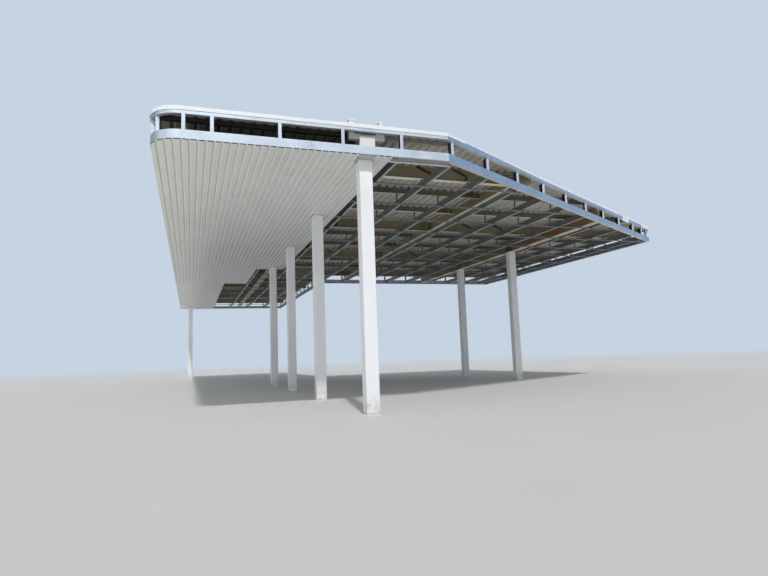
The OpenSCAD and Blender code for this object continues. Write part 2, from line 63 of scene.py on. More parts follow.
PITCH, LOW, HIGH, HEIGHT = 0.235, 0.120, 0.060, 0.046
RISE = (PITCH - LOW - HIGH) / 2
DECK_COVER = 0.94
BACKDROP = (0.56, 0.65, 0.76)
CENTRE = np.array([WIDTH / 2, LENGTH / 2, 0.0])


def length(v):
    return float(np.linalg.norm(v))


def new_object(name, data):
    obj = bpy.data.objects.new(name, data)
    bpy.context.scene.collection.objects.link(obj)
    return obj


# Mesh code
class Shape:
    """Collects faces of one piece, in plan metres."""

    def __init__(self):
        self.verts, self.faces, self.count = [], [], 0

    def add(self, verts, faces):
        verts = np.asarray(verts, float)
        self.verts.append(verts)
        self.faces += [[i + self.count for i in f] for f in faces]
        self.count += len(verts)

    def loft(self, rings, closed=True, caps=True):
        """Skin over rings of equally many points."""
        n = len(rings[0])
        faces = []
        for i in range(len(rings) - 1):
            for j in range(n if closed else n - 1):
                a, b = i * n + j, i * n + (j + 1) % n
                faces.append([a, b, b + n, a + n])
        if caps and closed:
            faces.append(list(range(n))[::-1])
            faces.append([(len(rings) - 1) * n + j for j in range(n)])
        self.add([p for r in rings for p in r], faces)

    def box(self, x0, x1, y0, y1, z0, z1, bevel=0.0):
        """A block with bevelled upright and level edges. Its x may come in either order."""
        x0, x1 = sorted((x0, x1))
        if not bevel:
            self.loft([[(x, y, z) for x, y in rect(x0, x1, y0, y1)] for z in (z0, z1)])
            return
        rings = []
        for z, e in ((z0, bevel), (z0 + bevel, 0), (z1 - bevel, 0), (z1, bevel)):
            a, b, c, d = x0 + e, x1 - e, y0 + e, y1 - e
            rings.append([(x, y, z) for x, y in (
                (a + bevel, c), (b - bevel, c), (b, c + bevel), (b, d - bevel),
                (b - bevel, d), (a + bevel, d), (a, d - bevel), (a, c + bevel))])
        self.loft(rings)

    def along_x(self, section, a, b):
        """Section of (y, z) points from a to b along X."""
        self.along((0, 0, 0), (0, 1, 0), (0, 0, 1), (1, 0, 0), section, a, b)

    def along(self, origin, u, v, w, section, a, b):
        """Section in the directions u and v, from a to b along w."""
        o, u, v, w = (np.array(t, float) for t in (origin, u, v, w))
        flat = [o + p * u + q * v for p, q in section]
        self.loft([[p + a * w for p in flat], [p + b * w for p in flat]])

    def put(self, part, origin, axis, turn=0.0):
        """A copy of part, whose +Z points along axis."""
        rot = Vector(axis).to_track_quat("Z", "Y").to_matrix() @ Matrix.Rotation(turn, 3, "Z")
        self.add(np.array(part[0]) @ np.array(rot).T + np.array(origin), part[1])

    def build(self, name, look="zinc", slot="galvanised", replaces=(), smooth=False):
        """Makes the object; fasteners are what look stands for if not given. The slot is not used.
        """
        mesh = bpy.data.meshes.new(name)
        mesh.from_pydata((np.concatenate(self.verts) - CENTRE).tolist(), [], self.faces)
        mesh.validate()
        mesh.update()
        obj = new_object(name, mesh)
        mesh.materials.append(LOOKS[look])
        recalc(mesh)
        if smooth:
            mesh.shade_smooth()
            mesh.set_sharp_from_angle(angle=radians(35))
        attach(obj, "root")
        if replaces:
            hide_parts(*replaces)
        return obj


def recalc(mesh):
    bm = bmesh.new()
    bm.from_mesh(mesh)
    bmesh.ops.recalc_face_normals(bm, faces=bm.faces)
    bm.to_mesh(mesh)
    bm.free()


def turned(n, *rings):
    """(verts, faces) of stacked rings of n points, given as (radius, z)."""
    verts, faces = [], []
    for r, z in rings:
        verts += [(r * cos(2 * pi * k / n), r * sin(2 * pi * k / n), z)
                  for k in range(n)]
    for i in range(len(rings) - 1):
        for j in range(n):
            a, b = i * n + j, i * n + (j + 1) % n
            faces.append([a, b, b + n, a + n])
    faces.append([(len(rings) - 1) * n + j for j in range(n)])
    return verts, faces


def joined(*parts):
    verts, faces = [], []
    for v, f in parts:
        faces += [[i + len(verts) for i in face] for face in f]
        verts += list(v)
    return verts, faces


def washer_and_hexagon(size, side, top):
    return joined(
        turned(12, (size * 1.1, 0), (size * 1.1, size * 0.16), (size * 0.95, size * 0.2)),
        turned(6, (size * 0.94, size * 0.2), (size * 0.94, size * side), (size * 0.8, size * top)))


def bolt(size):
    """Hexagon head on a round washer, for a bolt of that diameter."""
    return washer_and_hexagon(size, 0.72, 0.84)


def nut_and_stud(size):
    """Nut on a washer, with the bolt's end standing out."""
    return joined(
        washer_and_hexagon(size, 0.95, 1.05),
        turned(8, (size * 0.48, size), (size * 0.48, size * 1.5), (size * 0.4, size * 1.6)))


SCREW = joined(turned(10, (0.009, 0), (0.0085, 0.0012), (0.0065, 0.0018)),
               turned(6, (0.0058, 0.0015), (0.0058, 0.0048), (0.0048, 0.0056)))
RIVET = turned(10, (0.0052, 0), (0.0048, 0.0012), (0.0026, 0.0021))
BOLT12, BOLT16, BOLT20 = bolt(0.012), bolt(0.016), bolt(0.020)
NUT16, NUT20 = nut_and_stud(0.016), nut_and_stud(0.020)


# Plan outline
OUTLINE = [(CORNER, 0), (KINK_X, 0), (WIDTH, SLANT_Y), (WIDTH, MAIN), (TAIL, MAIN),
           (TAIL, LENGTH), (CORNER, LENGTH), (0, LENGTH - CORNER), (0, CORNER)]
OUTLINE = [np.array(p, float) for p in OUTLINE]
FRONT, SLANT, RIGHT, BACK, INNER, FAR, LEFT = 0, 1, 2, 3, 4, 5, 7


def side_vec(k):
    return OUTLINE[(k + 1) % 9] - OUTLINE[k]


def side_len(k):
    return length(side_vec(k))


def along_of(k):
    return side_vec(k) / side_len(k)


def inward(k):
    u = along_of(k)
    return np.array([-u[1], u[0]])


def mitre(k):
    """How corner k moves when the plan moves in by 1."""
    before = (k - 1) % 9
    if before in (6, 8):
        return inward(k)
    if k in (6, 8):
        return inward(before)
    a, b = inward(before), inward(k)
    return (a + b) / (1 + a @ b)


def at(k, s, d, z):
    p = OUTLINE[k] + s * along_of(k) + d * inward(k)
    return np.array([p[0], p[1], z])


def drop_at(k, s):
    """How much lower the top channel's underside is at s along side k."""
    ends = [DROP if RIGHT <= c <= INNER else 0.0 for c in (k, (k + 1) % 9)]
    return ends[0] + (ends[1] - ends[0]) * s / side_len(k)


def fascia_at(k, s):
    """(along, inward, underside of the top channel) at s along side k."""
    return (*along_of(k), 0.0), (*inward(k), 0.0), TOP_CHANNEL - drop_at(k, s)


def side_path(k, s0=0.0, s1=None):
    """(point, shift, drop) along side k, with the mitres where it reaches the side's ends."""
    n = side_len(k)
    s1 = n if s1 is None else s1
    stops = [s0] + [s for s in (0.15, n - 0.15) if s0 + 0.01 < s < s1 - 0.01] + [s1]
    path = []
    for s in stops:
        shift = mitre(k) if s < 1e-6 else mitre((k + 1) % 9) if s > n - 1e-6 else inward(k)
        path.append((OUTLINE[k] + s * along_of(k), shift, drop_at(k, s)))
    return path


def corner_path(k, steps=20):
    """The same round the near (k 8) or the far (k 6) corner."""
    centre = np.array([CORNER, CORNER if k == 8 else LENGTH - CORNER])
    a0 = pi if k == 8 else pi / 2
    path = []
    for i in range(steps + 1):
        a = a0 + i * pi / 2 / steps
        r = np.array([cos(a), sin(a)])
        path.append((centre + CORNER * r, -r, 0.0))
    return path


def swept(shape, path, section):
    """Sweeps section(drop) = [(d, z), ...] along a path."""
    shape.loft([[(p[0] + d * m[0], p[1] + d * m[1], z) for d, z in section(drop)]
                for p, m, drop in path])


def rect(a0, a1, b0, b1):
    return [(a0, b0), (a1, b0), (a1, b1), (a0, b1)]


def all_round(shape, section):
    for k in range(9):
        swept(shape, corner_path(k) if k in (6, 8) else side_path(k), section)


def slant_x(y):
    """Plan x of the slanted edge at y."""
    return KINK_X + y * (WIDTH - KINK_X) / SLANT_Y


def right_end(y, inset):
    """Plan x at which something that runs along X stops at the right."""
    if y > MAIN:
        return TAIL - inset
    n = inward(SLANT)
    x = KINK_X + (n[1] * y - inset) / -n[0]
    return min(WIDTH - inset, x)


def front_end(x, inset):
    """Plan y at which something that runs along Y starts at the front."""
    n = inward(SLANT)
    return max(inset, (inset - n[0] * (x - KINK_X)) / n[1])


def corner_edge(x):
    """Plan y of the front edge at x, round the front left corner."""
    return CORNER - sqrt(CORNER ** 2 - max(0.0, CORNER - x) ** 2)


# Materials
class Nodes:
    """Fills an emptied node tree."""

    def __init__(self, tree):
        self.tree = tree
        tree.nodes.clear()

    def node(self, kind, *values, **props):
        """A node with the first of its inputs set or linked."""
        n = self.tree.nodes.new(kind)
        for key, value in props.items():
            setattr(n, key, value)
        for socket, value in zip(n.inputs, values):
            self.feed(socket, value)
        return n

    def link(self, a, b):
        self.tree.links.new(a, b)

    def feed(self, socket, value):
        if isinstance(value, bpy.types.NodeSocket):
            self.link(value, socket)
        else:
            socket.default_value = value

    def math(self, op, a, b=0.5, c=0.5, clamp=False):
        return self.node("ShaderNodeMath", a, b, c, operation=op, use_clamp=clamp).outputs[0]

    def times(self, a, b, clamp=False):
        return self.math("MULTIPLY", a, b, clamp=clamp)

    def in_view(self):
        """1 for rays that show the backdrop straight, in a mirror or through glass."""
        ray = self.node("ShaderNodeLightPath").outputs
        return self.math("MAXIMUM", ray["Is Camera Ray"],
                         self.math("MAXIMUM", ray["Is Glossy Ray"], ray["Is Transmission Ray"]))

    def blend(self, share, a, b, out):
        mix = self.node("ShaderNodeMixShader", share, a.outputs[0], b.outputs[0])
        self.link(mix.outputs[0], out.inputs["Surface"])


class Look(Nodes):
    """One procedural material. Object coordinates are metres in the shared frame."""

    def __init__(self, name):
        self.mat = bpy.data.materials.new(name)
        self.mat.use_nodes = True
        super().__init__(self.mat.node_tree)
        self.out = self.node("ShaderNodeOutputMaterial")
        self.bsdf = self.node("ShaderNodeBsdfPrincipled")
        self.link(self.bsdf.outputs[0], self.out.inputs["Surface"])
        self.pos = self.node("ShaderNodeTexCoord").outputs["Object"]

    def scaled(self, s):
        return self.node("ShaderNodeVectorMath", self.pos, s, operation="MULTIPLY").outputs[0]

    def axis(self, name, vector=None):
        return self.node("ShaderNodeSeparateXYZ", vector or self.pos).outputs[name]

    def normal(self, name):
        return self.axis(name, self.node("ShaderNodeNewGeometry").outputs["Normal"])

    def noise(self, scale, detail=3.0, rough=0.55, stretch=None):
        n = self.node("ShaderNodeTexNoise", self.scaled(stretch) if stretch else self.pos)
        for key, value in (("Scale", scale), ("Detail", detail), ("Roughness", rough)):
            n.inputs[key].default_value = value
        return n.outputs["Fac"]

    def cells(self, scale):
        n = self.node("ShaderNodeTexVoronoi", self.pos)
        n.inputs["Scale"].default_value = scale
        return self.node("ShaderNodeSeparateColor", n.outputs["Color"]).outputs[0]

    def fit(self, value, low, high, to_low=0.0, to_high=1.0):
        return self.node("ShaderNodeMapRange", value, low, high, to_low, to_high,
                         interpolation_type="SMOOTHSTEP").outputs[0]

    def mix(self, fac, a, b, mode="MIX"):
        n = self.node("ShaderNodeMix", fac, data_type="RGBA", blend_type=mode)
        for socket, v in ((n.inputs[6], a), (n.inputs[7], b)):
            self.feed(socket, v if isinstance(v, bpy.types.NodeSocket) else (*v, 1.0))
        return n.outputs[2]

    def over(self, colour, *coats):
        """Lays coats over a colour, each (mask, share, tint) with a share of its tint."""
        for mask, share, tint in coats:
            colour = self.mix(self.times(mask, share), colour, tint)
        return colour

    def ramp(self, fac, *stops):
        n = self.node("ShaderNodeValToRGB", fac)
        while len(n.color_ramp.elements) < len(stops):
            n.color_ramp.elements.new(0.5)
        for e, (p, c) in zip(n.color_ramp.elements, stops):
            e.position, e.color = p, (*c, 1.0)
        return n.outputs[0]

    def bump(self, height, strength, distance, after=None):
        n = self.node("ShaderNodeBump")
        n.inputs["Strength"].default_value = strength
        n.inputs["Distance"].default_value = distance
        self.feed(n.inputs["Height"], height)
        if after is not None:
            self.link(after, n.inputs["Normal"])
        return n.outputs[0]

    def done(self, colour, rough, metal=0.0, normal=None):
        self.feed(self.bsdf.inputs["Base Color"], colour)
        self.feed(self.bsdf.inputs["Roughness"], rough)
        self.feed(self.bsdf.inputs["Metallic"], metal)
        if normal is not None:
            self.link(normal, self.bsdf.inputs["Normal"])
        return self.mat


def shade(tone, factor):
    return tuple(min(1, c * factor) for c in tone)


def white_paint(name, tone, foot=True, soiling=0.35):
    k = Look(name)
    fine = k.noise(14, 5)
    runs = k.fit(k.noise(1.0, 4, 0.6, stretch=(9, 9, 0.7)), 0.55, 0.8)
    colour = k.mix(k.fit(k.noise(0.9, 4), 0.35, 0.75), tone, shade(tone, 0.93))
    colour = k.over(colour, (runs, soiling * 0.35, (0.55, 0.52, 0.46)),
                    (k.fit(fine, 0.62, 0.78), soiling * 0.4, (0.42, 0.40, 0.36)))
    if foot:
        low = k.fit(k.axis("Z"), 0.55, 0.0)
        splash = k.times(low, k.fit(k.noise(7, 5, 0.7), 0.34, 0.72), clamp=True)
        band = k.times(k.fit(k.axis("Z"), 0.07, 0.01), k.fit(k.noise(11, 3), 0.25, 0.6))
        colour = k.over(colour, (splash, 0.75, (0.36, 0.31, 0.24)), (band, 0.6, (0.30, 0.27, 0.22)))
    return k.done(colour, k.fit(fine, 0.3, 0.8, 0.34, 0.5), 0.0,
                  k.bump(k.noise(160, 2), 0.12, 0.002))


def cream_paint(name, tone, rust, bright=(), rust_at=None, web=(0.29, 0.26, 0.16),
                glow=(0.86, 0.85, 0.80), below=PURLIN + 0.0085):
    """Primer on rolled steel: uneven coats, dark streaks, brown touched-up spots and painted shade
    on webs.
    """
    k = Look(name)
    wide = k.noise(0.55, 4, 0.6)
    colour = k.ramp(wide, (0.30, shade(tone, 0.72)), (0.52, tone), (0.75, shade(tone, 1.14)))
    olive = k.fit(k.noise(1.3, 3), 0.5, 0.7)
    streak = k.fit(k.noise(3.0, 5, 0.6, stretch=(1.0, 0.25, 3.0)), 0.56, 0.76)
    colour = k.over(colour, (olive, 0.35, (0.36, 0.35, 0.26)), (streak, 0.4, (0.30, 0.28, 0.23)))
    patch = k.noise(2.6, 5, 0.62)
    if rust_at is not None:
        x, y, reach = rust_at
        far = k.node("ShaderNodeVectorMath", k.scaled((0.7, 1, 0)), (x * 0.7, y, 0),
                     operation="DISTANCE")
        patch = k.math("ADD", patch, k.fit(far.outputs["Value"], reach, 0.3, 0.0, 0.17))
    # Painted shade: faces that stand upright, such as webs, take the darker web tone
    side_on = k.fit(k.math("ABSOLUTE", k.normal("Z")), 0.75, 0.35)
    colour = k.mix(side_on, colour, k.mix(k.fit(wide, 0.3, 0.75), web, shade(web, 0.72)))
    spots = k.times(k.fit(patch, 0.60, 0.68), rust, clamp=True)
    if rust_at is not None:
        spots = k.times(spots, k.math("MULTIPLY_ADD", side_on, 0.85, 0.15))
    brown = k.ramp(k.noise(17, 4), (0.3, (0.24, 0.11, 0.065)), (0.7, (0.42, 0.21, 0.125)))
    colour = k.mix(spots, colour, brown)
    # The bottom flanges of the rows in bright take the lighter glow tone; on the first cross beam
    # row this is painted light from the front
    for y in bright:
        row = k.math("COMPARE", k.axis("Y"), y, 0.09)
        under = k.times(row, k.math("LESS_THAN", k.axis("Z"), below))
        colour = k.mix(under, colour, glow)
    fine = k.noise(38, 4)
    return k.done(colour, k.fit(fine, 0.3, 0.75, 0.42, 0.62), 0.0,
                  k.bump(fine, 0.18, 0.003, k.bump(spots, 0.2, 0.001)))


def galvanised(name, tone, metal=0.45, soil=0.3, web=None, sides=False):
    """Hot dip zinc: spangle, cloudy patches, pale oxide, thin runs; web and sides add painted shade
    and reflection.
    """
    k = Look(name)
    spangle = k.cells(48)
    # Painted shade: with web given, faces that stand upright take the darker web tone
    if web is not None:
        tone = k.mix(k.fit(k.math("ABSOLUTE", k.normal("Z")), 0.75, 0.35), tone, web)
    if sides:
        # Painted light by facing: faces turned right take a blue painted sky reflection, faces
        # turned left a darker painted shade, undersides a warm painted reflection of sunlit ground
        # right of the kink and a grey painted shade left of it
        lean, under = k.normal("X"), k.fit(k.normal("Z"), -0.5, -0.8)
        tone = k.mix(k.fit(lean, 0.2, 0.45), tone, (0.22, 0.37, 0.62))
        tone = k.mix(k.fit(lean, -0.6, -0.9), tone, (0.26, 0.31, 0.38))
        kink = KINK_X - WIDTH / 2
        sunlit = k.fit(k.axis("X"), kink - 0.1, kink + 0.1)
        tone = k.mix(under, tone, k.mix(sunlit, (0.46, 0.47, 0.48), (0.80, 0.76, 0.68)))
    colour = k.mix(k.fit(k.noise(1.6, 4, 0.6), 0.3, 0.75), tone, (0.75, 0.75, 0.75), "MULTIPLY")
    oxide = k.fit(k.noise(5.5, 6, 0.7), 0.60, 0.76)
    run = k.fit(k.noise(1.0, 5, 0.6, stretch=(16, 16, 1.2)), 0.60, 0.80)
    colour = k.over(colour, (spangle, 0.20, (0.86, 0.88, 0.90)),
                    (k.cells(140), 0.10, (0.30, 0.31, 0.32)),
                    (oxide, 0.3 if web is None else 0.12, (0.80, 0.82, 0.83)),
                    (run, soil, (0.24, 0.25, 0.26)))
    rough = k.math("ADD", k.fit(spangle, 0.0, 1.0, 0.34, 0.48), k.times(oxide, 0.18))
    return k.done(colour, rough, metal,
                  k.bump(spangle, 0.06, 0.001, k.bump(k.noise(220, 2), 0.05, 0.001)))


def ceiling_paint():
    """Coil-coated sheets: a slightly other tone per sheet, finger marks, dust, painted shade and
    highlights.
    """
    k = Look("ceiling_sheet_paint")
    place = [k.math("FLOOR", k.math("DIVIDE", k.math("ADD", k.axis(axis), start), step))
             for axis, start, step in (("X", WIDTH / 2, COVER), ("Y", LENGTH / 2, SHEET))]
    cell = k.node("ShaderNodeCombineXYZ", *place)
    tone = k.node("ShaderNodeTexWhiteNoise", cell.outputs[0], noise_dimensions="3D")
    colour = k.mix(tone.outputs["Value"], (0.68, 0.69, 0.67), (0.74, 0.745, 0.72))
    dust = k.fit(k.noise(0.8, 5, 0.65), 0.42, 0.75)
    lines = k.fit(k.noise(2.0, 4, 0.6, stretch=(6, 0.22, 6)), 0.55, 0.8)
    marks = k.fit(k.noise(9, 5, 0.7), 0.66, 0.76)
    colour = k.over(colour, (dust, 0.22, (0.56, 0.54, 0.49)), (lines, 0.16, (0.50, 0.48, 0.44)),
                    (marks, 0.25, (0.40, 0.38, 0.34)))
    # Painted shade: the sheets darken towards the back and away from the left edge
    painted_depth_shade = k.times(k.fit(k.axis("Y"), 1 - LENGTH / 2, 13 - LENGTH / 2),
                    k.fit(k.axis("X"), 0.2 - WIDTH / 2, 2.2 - WIDTH / 2))
    colour = k.mix(painted_depth_shade, colour, (0.70, 0.71, 0.74), "MULTIPLY")
    # Painted highlight on the groove walls facing left, painted shade on those facing right
    lean = k.normal("X")
    colour = k.mix(k.fit(lean, -0.2, -0.5), colour, (0.95, 0.95, 0.94))
    colour = k.mix(k.fit(lean, 0.2, 0.5), colour, (0.42, 0.42, 0.40))
    # Painted shade: the sheets' upper faces are near black
    colour = k.mix(k.fit(k.normal("Z"), 0.2, 0.5), colour, (0.12, 0.12, 0.115))
    rough = k.fit(k.noise(26, 3), 0.3, 0.7, 0.38, 0.5)
    return k.done(colour, rough, 0.0, k.bump(k.noise(4, 2), 0.05, 0.01))


def deck_steel():
    """Zinc-coated deck: streaks along the ribs, dull patches, footmarks, painted highlight and
    shade on the ribs.
    """
    k = Look("deck_sheet")
    sheet = k.node("ShaderNodeTexWhiteNoise", noise_dimensions="1D")
    across = k.math("DIVIDE", k.math("ADD", k.axis("X"), WIDTH / 2), DECK_COVER)
    k.link(k.math("FLOOR", across), sheet.inputs["W"])
    colour = k.mix(sheet.outputs["Value"], (0.47, 0.44, 0.39), (0.57, 0.53, 0.47))
    long = k.fit(k.noise(1.4, 5, 0.65, stretch=(5, 0.3, 5)), 0.40, 0.75)
    cloud = k.fit(k.noise(0.7, 4, 0.6), 0.45, 0.75)
    lean, up = k.normal("X"), k.normal("Z")
    mud = k.times(k.fit(k.noise(3.2, 6, 0.7), 0.60, 0.75), k.fit(up, 0.2, 0.8))
    below = k.fit(up, 0.1, -0.1)
    # Undersides of the ribs' upper flats, for painted shade
    inside = k.times(below, k.math("GREATER_THAN", k.axis("Z"), DECK + 0.036))
    # Lighter towards the right, from plan x 10 m to 12.5 m
    toward_right = k.fit(k.axis("X"), 10 - WIDTH / 2, 12.5 - WIDTH / 2)
    colour = k.over(
        colour, (long, 0.35, (0.34, 0.32, 0.29)), (cloud, 0.35, (0.66, 0.63, 0.57)),
        (k.cells(70), 0.12, (0.75, 0.74, 0.70)), (mud, 0.45, (0.30, 0.26, 0.20)),
        # Painted highlight on rib flanks facing left, painted shade on those facing right
        (below, k.fit(lean, -0.3, -0.6), (0.74, 0.72, 0.67)),
        (below, k.fit(lean, 0.3, 0.6), (0.20, 0.19, 0.17)), (toward_right, 0.5, (0.74, 0.72, 0.66)),
        # Painted shade on the undersides of the ribs' upper flats, stronger towards the right
        (inside, k.math("MULTIPLY_ADD", toward_right, 0.35, 0.5), (0.20, 0.19, 0.165)))
    return k.done(colour, k.fit(long, 0, 1, 0.42, 0.6), 0.25, k.bump(k.noise(30, 3), 0.08, 0.003))


def dark_steel(name, tone, rust=0.5):
    k = Look(name)
    colour = k.mix(k.fit(k.noise(8, 4), 0.35, 0.7), tone, shade(tone, 0.7))
    spots = k.fit(k.noise(22, 5, 0.7), 0.58, 0.7)
    colour = k.over(colour, (spots, rust, (0.26, 0.13, 0.08)))
    rough = k.fit(k.noise(40, 3), 0.3, 0.7, 0.4, 0.6)
    return k.done(colour, rough, 0.45, k.bump(k.noise(90, 3), 0.2, 0.002))


def zinc():
    k = Look("zinc_fasteners")
    colour = k.mix(k.cells(300), (0.50, 0.51, 0.52), (0.72, 0.73, 0.73))
    return k.done(colour, k.fit(k.noise(120, 2), 0.3, 0.7, 0.28, 0.42), 0.8)


def eave_paint():
    """Dusty primer, painted near black as shade over the fitted ceiling."""
    k = Look("eave_channel_paint")
    colour = k.mix(k.fit(k.noise(1.8, 5, 0.65), 0.35, 0.7),
                   (0.34, 0.315, 0.27), (0.46, 0.425, 0.365))
    colour = k.over(colour, (k.fit(k.noise(9, 4), 0.55, 0.75), 0.4, (0.22, 0.19, 0.15)))
    # Painted shade: near black left of the left beam, over the fitted ceiling
    over = k.fit(k.axis("X"), LEFT_X - WIDTH / 2 + 0.15, LEFT_X - WIDTH / 2 - 0.15)
    colour = k.mix(over, colour, (0.040, 0.036, 0.030))
    rough = k.fit(k.noise(40, 3), 0.3, 0.7, 0.45, 0.62)
    return k.done(colour, rough, 0.0, k.bump(k.noise(60, 3), 0.15, 0.002))


def speckled(name, scale, low, high, rough, grain, strength, distance):
    k = Look(name)
    colour = k.mix(k.noise(scale, 3), low, high)
    return k.done(colour, rough, 0.0, k.bump(k.noise(*grain), strength, distance))


LOOKS = {
    "column": white_paint("column_white", (0.88, 0.90, 0.93)),
    "main_beam": cream_paint("main_beam_paint", (0.60, 0.55, 0.45), 0.85,
                             rust_at=(RIGHT_X - WIDTH / 2, 8.4 - LENGTH / 2, 4.5)),
    # Painted shade: the left beam look is darker than the other beams, as the beam runs over the
    # fitted ceiling
    "left_beam": cream_paint("left_beam_paint", (0.34, 0.32, 0.27), 0.5, web=(0.16, 0.145, 0.095)),
    "middle_beam": cream_paint("middle_beam_paint", (0.95, 0.92, 0.84), 0.25,
                               web=(0.34, 0.305, 0.19)),
    "bearer": white_paint("bearer_paint", (0.97, 0.92, 0.80), foot=False, soiling=0.3),
    "brace": dark_steel("brace_paint", (0.085, 0.055, 0.042), 0.3),
    "head": white_paint("head_paint", (0.77, 0.76, 0.73), foot=False, soiling=0.5),
    # Near black: painted shade on the post flanks, the flashing slot, the head slot and the rib
    # closures
    "hollow": dark_steel("post_hollow", (0.030, 0.033, 0.040), 0.1),
    "flashing": galvanised("flashing_zinc", (0.30, 0.305, 0.315), 0.3, 0.5),
    # The first cross beam's lighter bottom flange is painted light
    "cross": cream_paint("cross_beam_paint", (0.58, 0.54, 0.44), 0.5, bright=[ROWS[0] - LENGTH / 2],
                         glow=(0.92, 0.88, 0.74), below=CROSS + 0.004),
    "purlin": cream_paint("purlin_paint", (0.60, 0.56, 0.46), 0.35, web=(0.17, 0.165, 0.13),
                          bright=[ROWS[2] - LENGTH / 2, ROWS[7] - LENGTH / 2]),
    "deck": deck_steel(),
    "eave": eave_paint(),
    # Painted light: the near white lip tone stands in for bounce light on a lip in shade
    "bright_zinc": galvanised("flashing_lip_zinc", (0.88, 0.88, 0.86), 0.1, 0.1),
    # The fascia tone's blue tint is a painted sky reflection
    "fascia": galvanised("fascia_zinc", (0.62, 0.71, 0.82), 0.35, sides=True),
    "carrier": galvanised("carrier_zinc", (0.36, 0.38, 0.41), 0.3, 0.2, web=(0.10, 0.105, 0.115)),
    "grid": galvanised("grid_zinc", (0.47, 0.50, 0.51), 0.3, 0.2, web=(0.095, 0.115, 0.115)),
    "hanger": dark_steel("hanger_steel_paint", (0.20, 0.20, 0.21)),
    "ceiling": ceiling_paint(),
    "coping": white_paint("coping_white", (0.87, 0.89, 0.92), foot=False, soiling=0.25),
    "zinc": zinc(),
    "weld": speckled("weld_beads", 60, (0.66, 0.65, 0.62), (0.80, 0.79, 0.76), 0.5,
                     (180, 3), 0.6, 0.004),
    # Dark speckled look: sealant on the fascia joints and collars, painted shade on the rib fillers
    # and the slit strip
    "sealant_and_shade": speckled("sealant_and_shade", 30, (0.10, 0.10, 0.10), (0.17, 0.17, 0.165), 0.7,
                        (90, 2), 0.3, 0.002),
}
# Looks of the CAD nodes, by the longest of these words in a node's name
CAD_LOOKS = {
    "column": "column", "left_main_beam": "left_beam", "right_main_beam": "main_beam",
    "middle_beam": "middle_beam", "cross_beams": "cross", "purlins": "purlin",
    "column_head_arms": "head", "roof_stub_posts": "column", "eave_channel": "eave",
    "roof_deck": "deck", "runners": "grid", "runner_hangers": "hanger", "carriers": "carrier",
    "ceiling_sheets": "ceiling", "fascia": "fascia", "coping": "coping",
}
for node_name, obj in nodes.items():
    key = max((k for k in CAD_LOOKS if k in node_name), key=len)
    obj.data.materials.clear()
    obj.data.materials.append(LOOKS[CAD_LOOKS[key]])


# Coping lengths with a folded drip, a back hem, open joints and straps under the joints
def coping_section(top, height):
    t, face, back = 0.0025, -0.009, 0.078
    low = top - height
    return [(back, top - 0.014), (back, top), (face, top), (face, low + 0.012),
            (-0.012, low + 0.002), (-0.0105, low), (-0.008, low + 0.001), (face + t, low + 0.013),
            (face + t, top - t), (back - t, top - t), (back - t, top - 0.014)]


def cut(path, a, b):
    """The stretch of a path from a to b, counted along it."""
    out, run = [], 0.0
    for (p, m, d), (q, n, e) in zip(path, path[1:]):
        step = length(q - p)
        lo, hi = max(a, run), min(b, run + step)
        if hi > lo + 1e-6:
            for s in (lo, hi):
                f = (s - run) / step
                point = (p + f * (q - p), m + f * (n - m), d + f * (e - d))
                if not out or length(out[-1][0] - point[0]) > 1e-5:
                    out.append(point)
        run += step
    return out


def coping(name, path, height=COPING_H, replaces=()):
    body, straps, screws = Shape(), Shape(), Shape()
    total = sum(length(q[0] - p[0]) for p, q in zip(path, path[1:]))
    stops = [0.0]
    while stops[-1] + COPING_LENGTH < total - 0.4:
        stops.append(stops[-1] + COPING_LENGTH)
    stops.append(total)
    for a, b in zip(stops, stops[1:]):
        part = cut(path, a + 0.0025, b - 0.0025)
        swept(body, part, lambda drop: coping_section(COPING, height))
        for s in np.arange(a + 0.35, b - 0.2, 0.6):
            p, m, _ = cut(path, s, s + 0.01)[0]
            screws.put(RIVET, (p[0] + 0.05 * m[0], p[1] + 0.05 * m[1], COPING), UP, s)
            screws.put(RIVET, (*(p - 0.009 * m), COPING - height + 0.03), (-m[0], -m[1], 0), s)
        if b < total - 0.01:
            top, low = COPING - 0.004, COPING - height + 0.016
            section = [(0.074, top), (-0.0063, top), (-0.0063, low), (-0.0053, low),
                       (-0.0053, top - 0.001), (0.074, top - 0.001)]
            swept(straps, cut(path, b - 0.05, b + 0.05), lambda drop: section)
    body.build(name, "coping", "coping_paint", replaces)
    if straps.count:
        straps.build(name + "_straps", "coping", "coping_paint")
    screws.build(name + "_screws")


def chain(*paths):
    out = []
    for path in paths:
        for p in path:
            if not out or length(out[-1][0] - p[0]) > 1e-6:
                out.append(p)
    return out


slant_len = side_len(SLANT)
coping("front_coping_lengths", chain(corner_path(8), side_path(FRONT), side_path(SLANT, 0, 0.70)),
       replaces=["coping_front"])
coping("left_coping_lengths", chain(corner_path(6), side_path(LEFT)), replaces=["coping_left"])
coping("far_coping_lengths", side_path(FAR), replaces=["coping_far"])
piece_end = slant_len - 2.4
coping("slant_coping_piece", side_path(SLANT, piece_end - 0.7, piece_end), 0.26, ["coping_pieces"])
coping("right_corner_coping",
       chain(side_path(SLANT, slant_len - 0.9), side_path(RIGHT, 0, 0.9)), 0.18)

# White edge strip over the upstand where no coping is fitted yet
strip = Shape()


def strip_section(height):
    top, low = OPEN_UPSTAND, OPEN_UPSTAND - height
    return [(-0.0022, low), (-0.0006, low), (-0.0006, top - 0.001), (0.0045, top + 0.0002),
            (0.0205, top + 0.0002), (0.0205, top + 0.0016), (-0.0022, top + 0.0014)]


